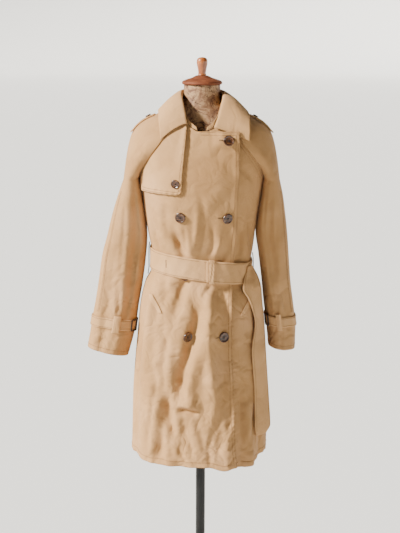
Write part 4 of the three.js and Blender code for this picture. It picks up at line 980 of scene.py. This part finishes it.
def stand_grid(share):
    half = np.minimum(share, 1 - share)
    sign = np.where(share < 0.5, 1, -1)
    end_seam = coat_at(sign * STAND_TABLE["x"](half), STAND_TABLE["level"](half), -CLOTH, 1)
    end_seam = end_seam + UP * STAND_LIFT
    end_top = stack(sign * STAND_TABLE["topX"](half), STAND_TABLE["topY"](half),
                    STAND_TABLE["topZ"](half))
    around = np.where(share < 0.5, mix(0.16, 0.5, share_of(STAND_ENDS, 0.5, share)),
                      mix(0.5, 0.84, share_of(0.5, 1 - STAND_ENDS, share)))
    under = roll_point(around)
    top = under + inward(under) * COLLAR_STAND_IN - UP * STAND_DROP
    turn = np.degrees(np.arctan2(under[:, 0], -under[:, 1]))
    seam = coat(turn, mix(1369, 1372, fade(100, 150, np.abs(turn))), -STAND_LIFT)
    at_end = (half < STAND_ENDS)[:, None]
    seam, top = np.where(at_end, end_seam, seam), np.where(at_end, end_top, top)
    return mix(seam, top, np.linspace(0, 1, 9)[:, None, None])


stand_shares = np.concatenate([
    np.linspace(0, 0.235, 24), np.linspace(0.31, 0.69, 50), np.linspace(0.765, 1, 24)])
band = stand_grid(stand_shares)
shell("collar_band", band, CLOTH, cloth, ["collar_stand"])

# %% [markdown]
# ## What lies on the coat
# Each of these follows the surface under it, moved out by a gap and its own thickness.

# %% Storm flap and pocket welts
FLAP_STAND_OFF = 3.2        # how far the flap's free edges stand off the coat
FLAP_TOP_OFF = 2.2          # how far its top does, under the collar


def storm_flap():
    side = border([(0, -148, 1158), (0.16, -150, 1186), (0.32, -141, 1216), (0.5, -124, 1247),
                   (0.75, -95, 1287), (1, -63, 1342)])
    far = border([(0, -53, 1160), (0.08, -49.5, 1168), (0.3, -47, 1205), (1, -37, 1322)])
    foot = border([(0, -148, 1158), (0.9, -61, 1156.5), (1, -53, 1160)])
    head = border([(0, -63, 1342), (0.6, -46, 1334), (1, -37, 1322)])
    s, r = np.meshgrid(np.linspace(0, 1, 60), np.linspace(0, 1, 90))
    x, level = patch(side, far, foot, head, s, r)
    free = np.maximum(fade(0.6, 1, s), fade(0.4, 0, r))
    out = LAY_GAP + SLACK + DOUBLE_CLOTH + FLAP_STAND_OFF * free + FLAP_TOP_OFF * fade(0.5, 0.85, r)
    pucker = 0.5 * np.sin(s * 44) * fade(0.16, 0.02, r) + 0.5 * np.sin(r * 60) * fade(0.86, 0.98, s)
    return coat_at(x, level, out + pucker)


flap = storm_flap()
shell("flap", flap, DOUBLE_CLOTH, trim_cloth_painted_lighter, ["storm_flap"])

WELT_HALF = 5               # half its width
WELT_THICK = 1.2
WELT_OUT = LAY_GAP + 3 * SLACK + WELT_THICK
for side_name, sign, *_ in SIDES:
    t, way = np.linspace(0, 1, 30)[:, None], np.linspace(-1, 1, 9)[None]
    soft = 0.25 * (1 - way ** 2)
    grid = coat_at(sign * mix(104, 124, t) + way * WELT_HALF, mix(848, 888, t) + 0 * way,
                   WELT_OUT + soft)
    shell(f"welt_{side_name}", grid, WELT_THICK, trim_cloth_painted_lighter, [f"pocket_welt_{side_name}"])

# %% Belt, its second layer, keeper and tail
BELT_LAYER = DOUBLE_CLOTH + LAY_GAP + 0.1   # from the belt's outer face to the second layer's


def belt_point(angle, rise, out):
    point = coat(angle, BELT_LEVEL, BELT_OUT + DOUBLE_CLOTH + out, False)
    return point + UP * np.asarray(rise, float)[..., None]


def belt_relief(angle, rise):
    """Soft buckling of the belt: slanting ripples, strongest on the wearer's right."""
    part = np.sin(np.radians(angle) * 13 + rise * 0.09) * np.sin(np.radians(angle) * 5 + 1)
    part = part + 0.6 * np.sin(np.radians(angle) * 27 - rise * 0.07 + 2)
    return 0.4 * part - 0.4


belt_rise = np.linspace(-BELT_HEIGHT / 2, BELT_HEIGHT / 2, 17)[:, None]
belt_turn = np.linspace(0, 360, 241)[None]
band_grid = belt_point(belt_turn, belt_rise + 0 * belt_turn, belt_relief(belt_turn, belt_rise))
shell("waist_belt", band_grid, DOUBLE_CLOTH, trim_cloth_painted_lighter, ["belt"])

end_share = np.linspace(0, 1, 60)[None]
end_turn = mix(4, mix(52, 62, belt_rise / BELT_HEIGHT + 0.5), end_share)
end_lift = BELT_LAYER + 0.45 + 0.45 * np.sin(end_turn * 0.5 + belt_rise * 0.1)
end_grid = belt_point(end_turn, belt_rise + 0 * end_turn, end_lift)
shell("belt_layer", end_grid, DOUBLE_CLOTH, trim_cloth_painted_lighter, ["belt_end"])

KEEPER_ANGLE = 9
KEEPER_HALF_ANGLE = 2.6
KEEPER_HALF_HEIGHT = 30.4
keeper_way = np.linspace(-1, 1, 15)[None]
keeper_share = np.linspace(0, 1, 61)[:, None]
keeper_arc = np.sin(np.pi * keeper_share)
keeper_ends = fade(0, 0.06, keeper_share) * fade(1, 0.94, keeper_share)
keeper_out = SLACK + (BELT_LAYER + CLOTH + 0.8 - SLACK) * keeper_ends + 0.9 * keeper_arc
keeper_part = 0.35 * fade(0.03, 0.97, keeper_share) + 0.65 * share_of(0.03, 0.97, keeper_share)
keeper_rise = KEEPER_HALF_HEIGHT * mix(-1, 1, keeper_part)
crumple = 0.7 * np.sin(keeper_way * 5 + keeper_share * 16) * np.sin(keeper_share * 23)
keeper_waist = 1 - 0.12 * np.sin(np.pi * keeper_share * 3) ** 2
keeper_turn = KEEPER_ANGLE + keeper_way * KEEPER_HALF_ANGLE * keeper_waist
keeper_grid = belt_point(keeper_turn, keeper_rise + 0 * keeper_way,
                         keeper_out + 0.8 + crumple * keeper_arc)
shell("keeper", keeper_grid, CLOTH, trim_cloth_painted_lighter, ["belt_keeper"])

TAIL = curves("z leftX leftY rightX rightY bulge", [
    (520, 145, -94, 171, -72, 2), (540, 142, -97, 183, -61, 3), (606, 140, -98, 179, -59, 3),
    (674, 137, -99, 174, -56, 4), (753, 131, -100, 168, -59, 4), (819, 139, -83, 164, -37, 4),
    (862, 130, -86, 159, -43, 5), (883, 122, -87, 157, -48, 5), (911, 106, -88, 154, -58, 5),
    (934, 109, -79.8, 147, -50, 4), (950, 115, -72.1, 139, -46, 2), (966, 119, -65.5, 130, -53, 1)])
tail_z = np.linspace(520, 966, 120)[:, None]
tail_t = np.linspace(0, 1, 21)[None]
tail_left, tail_right = [
    np.concatenate([TAIL[edge + "X"](tail_z), TAIL[edge + "Y"](tail_z)], axis=1)[:, None]
    for edge in ("left", "right")]
tail_across = tail_right - tail_left
tail_out = unit(np.stack([tail_across[..., 1], -tail_across[..., 0]], axis=-1))
tail_soft = TAIL["bulge"](tail_z) * np.sin(np.pi * tail_t)
tail_soft = tail_soft - 1.4 * hill((tail_t - 0.35 - 0.1 * np.sin(tail_z * 0.02)) / 0.16)
tail_soft = tail_soft + 0.5 * np.sin(tail_z * 0.05) * np.sin(np.pi * tail_t)
tail_xy = tail_left + tail_across * tail_t[..., None] + tail_out * tail_soft[..., None]
tail_grid = stack(tail_xy[..., 0], tail_xy[..., 1], tail_z + 0 * tail_t)
shell("belt_hanging_end", tail_grid, DOUBLE_CLOTH, trim_cloth_painted_lighter, ["belt_tail"])


def tube(name, points, radius, material, nodes, sides=10):
    """A round tube along a path of points."""
    points = np.asarray(points, float)
    walk = walk_along(points)
    at = np.linspace(0, walk[-1], 60)
    path = np.stack([curve(walk, points[:, k])(at) for k in range(3)], axis=1)
    ahead = unit(np.gradient(path, axis=0))
    across = unit(np.cross(ahead, np.array([0.2, 1.0, 0.1])))
    over = np.cross(ahead, across)
    turn = np.linspace(0, 2 * np.pi, sides + 1)
    size = radius * np.minimum(1, 0.35 + np.minimum(at, walk[-1] - at) / radius / 2)[:, None, None]
    grid = path[:, None] + size * (across[:, None] * np.cos(turn)[None, :, None]
                                   + over[:, None] * np.sin(turn)[None, :, None])
    grid_piece(name, grid, material, nodes)


THREAD_RADIUS = 1.2
for side_name, sign, *_ in SIDES:
    angle = np.array(sign * 88.0)
    path = [coat(angle, 1004.0, THREAD_RADIUS + LAY_GAP), belt_point(angle, 26.0, 2.0),
            belt_point(angle, 0.0, 2.4), belt_point(angle, -26.0, 2.4),
            coat(angle, 918.0, THREAD_RADIUS + 1.7)]
    tube(f"thread_loop_{side_name}", path, THREAD_RADIUS, dark_thread,
         [f"belt_loop_{side_name}"])
print("belt and loops made")

# %% Cuff straps, cloth loops and covered buckles
STRAP_OUT = LAY_GAP + SLACK + DOUBLE_CLOTH
CUFF_LOOP_ACROSS = 0.57     # the loop's middle, from the sleeve's outer edge (0) to its inner one (1)
CUFF_LOOP_HALF = 0.08
CUFF_LOOP_PAST = 0.02       # how far the loop ends inside the strap's edges
BUCKLE_ACROSS = 0.93
BUCKLE_WIDTH = 22
BUCKLE_HEIGHT = 34
BUCKLE_BAR = 4.5
BUCKLE_DEPTH = 3.2


def seat_basis(normal):
    """Across, upright and outward directions of a piece that is seated on a surface."""
    upright = unit(UP - normal * normal[2])
    return np.cross(upright, normal), upright, normal


def surface_normal(point_at, u, v, step):
    du = point_at(u + step, v) - point_at(u - step, v)
    dv = point_at(u, v + step) - point_at(u, v - step)
    return unit(np.cross(du, dv))


def rounded_rectangle(width, height, radius, count=8):
    quarter = np.linspace(0, np.pi / 2, count)
    parts = []
    for k, (sx, sy) in enumerate([(1, 1), (-1, 1), (-1, -1), (1, -1)]):
        turn = quarter + k * np.pi / 2
        parts.append(np.stack([sx * (width / 2 - radius) + radius * np.cos(turn),
                               sy * (height / 2 - radius) + radius * np.sin(turn)], axis=1))
    points = np.concatenate(parts)
    return np.concatenate([points, points[:1]])


def buckle(name, point, normal, node):
    """A covered frame: its section is a rounded bar, swept round the rectangle."""
    across, upright, outward = seat_basis(normal)
    turn = np.linspace(0, 2 * np.pi, 17)
    rings = []
    for angle in turn:
        inset = BUCKLE_BAR * (1 - np.cos(angle)) / 2
        height = BUCKLE_DEPTH * (0.5 + 0.5 * np.sin(angle))
        outline = rounded_rectangle(BUCKLE_WIDTH - 2 * inset, BUCKLE_HEIGHT - 2 * inset,
                                    4 - 0.42 * inset)
        rings.append(point + outline[:, :1] * across + outline[:, 1:] * upright
                     + outward * height)
    grid_piece(name, np.stack(rings), leather, [node])


strap_lines = []
for side_name, sign, sleeve, creases in SIDES:
    def at(across, share, out=STRAP_OUT, sleeve=sleeve, creases=creases, sign=sign):
        point = on_sleeve(sleeve, creases, np.asarray(share, float), 1,
                          np.asarray(across, float), out)
        return mirrored(point, sign)
    shares = np.linspace(STRAP_FOOT, STRAP_TOP, 13)
    strap = placed(sleeve_ring(sleeve, creases, shares, STRAP_OUT), sign)
    shell(f"strap_{side_name}", strap, DOUBLE_CLOTH, trim_cloth_painted_lighter, [f"cuff_strap_{side_name}"])
    strap_lines += [grid_line(strap, row, np.linspace(0, 1, 200)) for row in (0.13, 0.87)]

    way = np.linspace(-1, 1, 9)[None]
    loop_share = np.linspace(STRAP_FOOT + CUFF_LOOP_PAST, STRAP_TOP - CUFF_LOOP_PAST, 15)[:, None]
    loop_out = STRAP_OUT + LAY_GAP + 2 * SLACK + CLOTH
    loop = on_sleeve(sleeve, creases, loop_share, 1, CUFF_LOOP_ACROSS + way * CUFF_LOOP_HALF,
                     loop_out + 0.3 * (1 - way ** 2))
    shell(f"strap_loop_{side_name}", placed(loop, sign), CLOTH, trim_cloth_painted_lighter,
          [f"cuff_loop_{side_name}"])
    middle = (STRAP_TOP + STRAP_FOOT) / 2
    normal = surface_normal(at, BUCKLE_ACROSS, middle, 0.01) * sign
    buckle(f"buckle_{side_name}", at(BUCKLE_ACROSS, middle), normal, f"cuff_buckle_{side_name}")
print("cuffs made")

# %% Epaulettes
# x, height and half the width, from the collar to the shoulder
EPAULETTE = [(119, 1347.6, 9), (124, 1345.6, 17), (136, 1340.8, 18.5), (150, 1332.6, 20),
             (163, 1322.6, 21), (171, 1314.2, 21.5), (177.5, 1306.5, 22), (181.5, 1303, 22)]
EPAULETTE_CROWN = 1.2       # how much higher its middle is than its edges
epaulette_data = np.array(EPAULETTE, float)
epaulette_walk = walk_along(epaulette_data[:, :2])
epaulette_at = np.linspace(0, epaulette_walk[-1], 60)
epaulette_x, epaulette_z, epaulette_half = [
    curve(epaulette_walk, epaulette_data[:, k])(epaulette_at) for k in range(3)]
epaulette_lines = []
for side_name, sign, *_ in SIDES:
    way = np.linspace(-1, 1, 21)[:, None]
    y = RIDGE_Y + way * epaulette_half
    z = epaulette_z - EPAULETTE_CROWN * way ** 2 + 0.25 * np.sin(epaulette_at * 0.3 + way * 3)
    grid = stack(sign * epaulette_x + 0 * way, y, z)
    if sign < 0:
        grid = grid[:, ::-1]
    shell(f"shoulder_strap_{side_name}", grid, DOUBLE_CLOTH, trim_cloth_painted_lighter,
          [f"epaulette_{side_name}"])
    epaulette_lines += [grid_line(grid, row, np.linspace(0.03, 0.97, 80)) for row in (0.1, 0.9)]


# %% [markdown]
# ## Buttons
# A button is a turned disc with a raised rim. Its height is a function of the radius, and four
# hills are taken off it for the holes.

# %% Buttons and their thread
BUTTON_GAP = 0.4            # air between a button and the cloth
HOLE_PLACE = 0.17           # the holes' places and size, as shares of the button's radius
HOLE_SIZE = 0.085


def button(name, nodes, point, normal, diameter):
    """Makes a button and gives back the two lines of thread that cross between its holes."""
    across, upright, outward = seat_basis(normal)
    radius = diameter / 2
    turn = np.linspace(0, 2 * np.pi, 73)[None]
    reach = np.linspace(0, 1, 34)[:, None]
    top = curve([0, 0.3, 0.62, 0.74, 0.86, 0.95, 1], [0.22, 0.22, 0.235, 0.29, 0.35, 0.31, 0.2])
    height = radius * top(reach) + 0 * turn
    px, py = reach * np.cos(turn), reach * np.sin(turn)
    for sx, sy in ((1, 1), (-1, 1), (-1, -1), (1, -1)):
        hole = np.hypot(px - sx * HOLE_PLACE, py - sy * HOLE_PLACE) / HOLE_SIZE
        height = height - 1.5 * hill(hole) ** 2
    under = radius * np.array([0.12, 0.02, 0.0])[:, None] + 0 * turn
    ring = np.array([1.0, 0.8, 0.02])[:, None]
    px = np.concatenate([px, ring * np.cos(turn)])
    py = np.concatenate([py, ring * np.sin(turn)])
    height = np.concatenate([height, under])
    grid = (point + (radius * px)[..., None] * across + (radius * py)[..., None] * upright
            + (height + BUTTON_GAP)[..., None] * outward)
    grid_piece(name, grid, horn, nodes)
    t = np.linspace(-1, 1, 9)[:, None]
    rise = outward * (radius * 0.22 + BUTTON_GAP + 0.35 * (1 - t ** 2))
    return [point + radius * HOLE_PLACE * (t * across + t * side * upright) + rise
            for side in (1, -1)]


# name, x, height, diameter, and how far off the coat it lies. The button at the waist has no solid.
BUTTONS = [
    ("button_top_left", 64, 1290, 27, -0.5), ("button_chest_right", -53, 1098, 27, 0),
    ("button_chest_left", 64, 1097, 27, 0), ("button_hip_right", -36, 793, 27, 0.2),
    ("button_hip_left", 59, 792, 27, 1.3),
    ("button_waist_right", -41, 943, 27, -2.0),
    ("button_flap", -64, 1184, 22, LAY_GAP + DOUBLE_CLOTH + 1.6)]
for name, x, level, diameter, out in BUTTONS:
    def at(u, v, out=out):
        return coat_at(np.asarray(u, float), np.asarray(v, float), out + corner_lift(u, v))
    point, normal = at(x, level), surface_normal(at, x, level, 4)
    nodes = [] if name == "button_waist_right" else [name]
    threads = button(name.replace("button", "horn_button"), nodes, point, normal, diameter)
    for k, line in enumerate(threads):
        tube(f"{name}_thread_{k}", line, 0.5, dark_thread, [], 6)
SHOULDER_BUTTON = 15
for side_name, sign, *_ in SIDES:
    place, before, after = [np.array([sign * EPAULETTE[k][0], RIDGE_Y, EPAULETTE[k][1]], float)
                            for k in (2, 1, 3)]
    along = (before - after) * sign
    normal = unit(np.array([along[2], 0.0, -along[0]]))
    button(f"horn_button_shoulder_{side_name}", [f"epaulette_button_{side_name}"], place, normal,
           SHOULDER_BUTTON)
print("buttons made")

# %% [markdown]
# ## Stitches
# Rows of raised dashes follow the edges and the seams, a few millimetres in. Their thread is darker
# than real topstitching: the dark paints the shade of the stitch grooves.

# %% Topstitching and buttonholes
def coat_line(x, level, out=0.0, face=1):
    x, level, out = np.broadcast_arrays(*[np.asarray(v, float) for v in (x, level, out)])
    low = coat_at(x, level, out + THREAD_OFF, face)
    return low, coat_at(x, level, out + THREAD_OFF + 1, face) - low


edge_levels = np.arange(HEM_LEVEL + 4, 1306, 4.0)
lines = [coat_line(FRONT_EDGE(edge_levels) - inset, edge_levels,
                   corner_lift(FRONT_EDGE(edge_levels) - inset, edge_levels))
         for inset in (2.5, 9.0)]
top_x = np.arange(-4, 86, 3.0)
lines += [coat_line(top_x, np.full_like(top_x, level), corner_lift(top_x, level))
          for level in (1309.0, 1303.0)]
HEM_TURN_UP = 14.0
hem_turn = np.arange(-89, 268, 0.8)
hem_low = coat(hem_turn, HEM_LEVEL + HEM_TURN_UP, THREAD_OFF)
lines.append((hem_low, coat(hem_turn, HEM_LEVEL + HEM_TURN_UP, THREAD_OFF + 1) - hem_low))
seam_share = np.linspace(0.06, 0.98, 90)
for sign in (-1, 1):
    for name, face in (("front", 1), ("back", -1)):
        for inset in (5.5, 11.0):
            seam_x = sign * (RAGLAN[name + "X"](seam_share) - inset)
            lines.append(coat_line(seam_x, RAGLAN[name + "Z"](seam_share) - 0.4 * inset, 0, face))
back_levels = np.arange(HEM_LEVEL + 6, 1362, 4.0)
lines.append(coat_line(np.full_like(back_levels, 3.0), back_levels, 0, -1))
stitches("coat_stitches", lines)

flap_lines = [
    grid_line(flap, np.linspace(0.03, 0.97, 120), 0.975),
    grid_line(flap, np.linspace(0.06, 0.97, 120), 0.92),
    grid_line(flap, 0.022, np.linspace(0.04, 0.95, 120)),
    grid_line(flap, 0.062, np.linspace(0.04, 0.93, 120))]
collar_lines = [
    grid_line(fall, 0.065, np.linspace(0.03, 0.97, 300)),
    grid_line(fall, 0.025, np.linspace(0.012, 0.988, 300)),
    grid_line(fall, np.linspace(0.03, 0.76, 60), 0.012),
    grid_line(fall, np.linspace(0.03, 0.76, 60), 0.988)]
belt_lines = [grid_line(band_grid, row, np.linspace(0.004, 0.996, 500)) for row in (0.08, 0.92)]
belt_lines += [grid_line(end_grid, row, np.linspace(0.02, 0.98, 120)) for row in (0.08, 0.92)]
belt_lines += [grid_line(end_grid, np.linspace(0.1, 0.9, 40), 0.97)]
tail_lines = [grid_line(tail_grid, np.linspace(0.02, 0.98, 200), column) for column in (0.09, 0.91)]
sleeve_lines = []
for side_name, sign, sleeve, creases in SIDES:
    seam_shares = np.linspace(0.06, 0.77, 160)
    pairs = [[on_sleeve(sleeve, creases, seam_shares, 1, across, out)
              for out in (THREAD_OFF, THREAD_OFF + 1)] for across in (0.1, 0.125)]
    pairs.append([sleeve_ring(sleeve, creases, [0.975], out)[0]
                  for out in (THREAD_OFF, THREAD_OFF + 1)])
    sleeve_lines += [(mirrored(low, sign), mirrored(high - low, sign)) for low, high in pairs]
stitches("trim_stitches", flap_lines + collar_lines + belt_lines + tail_lines + strap_lines
         + epaulette_lines)
stitches("sleeve_stitches", sleeve_lines)

hole_lines = []
for x0, x1, level in ((40, 54, 1291.5), (38, 53, 1098.5), (34, 48, 793)):
    hole_x = np.linspace(x0, x1, 30)
    for shift in (-0.8, 0.8):
        hole_lines.append(coat_line(hole_x, np.full(30, level + shift), corner_lift(hole_x, level)))
eyelet_column = 1 + float(angle_at(-87, BELT_LEVEL)) / 360
for shift in (-0.001, 0.001):
    hole_lines.append(grid_line(band_grid, np.linspace(0.32, 0.74, 30), eyelet_column + shift))
stitches("buttonhole_threads", hole_lines, dark_thread)

# %% [markdown]
# ## Room, light and camera
# A wide pale floor rises at its far rim. The key light comes softly from the image's left.

# %% Floor
FLOOR_RADIUS = 30000
RIM_BEND = 3000             # radius of the bend between the floor and its rim
RIM_HEIGHT = 4500
room, room_shader = new_material("pale_room", Roughness=0.9)
room_shader.inputs["Base Color"].default_value = colour("F6F6F4")
room_turn = np.linspace(0, 2 * np.pi, 97)[None]
bend = np.linspace(0, np.pi / 2, 16)
room_reach = np.concatenate([[1], FLOOR_RADIUS - RIM_BEND + RIM_BEND * np.sin(bend),
                             [FLOOR_RADIUS]])[:, None]
room_height = np.concatenate([[0], RIM_BEND * (1 - np.cos(bend)), [RIM_HEIGHT]])[:, None]
cove = stack(room_reach * np.cos(room_turn), room_reach * np.sin(room_turn), room_height)
mesh_object("floor_and_wall", cove.reshape(-1, 3), grid_faces(*cove.shape[:2]), room)


# %% Lights and world
def light(name, kind, power, tint, direction, **settings):
    lamp = bpy.data.lights.new(name, kind)
    lamp.energy = power
    lamp.color = tint
    for setting, value in settings.items():
        setattr(lamp, setting, value)
    holder = place_in_scene(name, lamp)
    holder.rotation_euler = direction.to_track_quat("-Z", "Y").to_euler()
    return holder


FILL_PLACE = Vector((-0.9, -3.2, 2.1))
FILL_TARGET = Vector((0, 0, 0.95))
KEY_DIRECTION = Vector((2.75, 1.0, -1.75))
fill = light("front_fill", "AREA", 1.5, (0.86, 0.93, 1.0), FILL_TARGET - FILL_PLACE,
             shape="RECTANGLE", size=1.6, size_y=1.2)
fill.location = FILL_PLACE
light("key", "SUN", 13, (1.0, 0.965, 0.9), KEY_DIRECTION, angle=np.radians(9))
world = bpy.data.worlds.new("studio")
world.use_nodes = True
background = world.node_tree.nodes["Background"]
background.inputs["Color"].default_value = (0.8, 0.9, 1.0, 1.0)
background.inputs["Strength"].default_value = 0.03
bpy.context.scene.world = world

# %% Camera, at the photograph's place and angle
IMAGE_HEIGHT = 533
FOCAL_PIXELS = 1231
SENSOR = 36
TILT_DOWN = 11.9
ROLL_LEFT = -0.22
camera_data = bpy.data.cameras.new("camera")
camera_data.sensor_width = SENSOR
camera_data.sensor_fit = "AUTO"
camera_data.lens = FOCAL_PIXELS * SENSOR / IMAGE_HEIGHT
camera = place_in_scene("camera", camera_data)
camera.location = (-0.006, -3.14, 1.612)
camera.rotation_euler = (np.radians(90 - TILT_DOWN), np.radians(ROLL_LEFT), 0)
bpy.context.scene.camera = camera
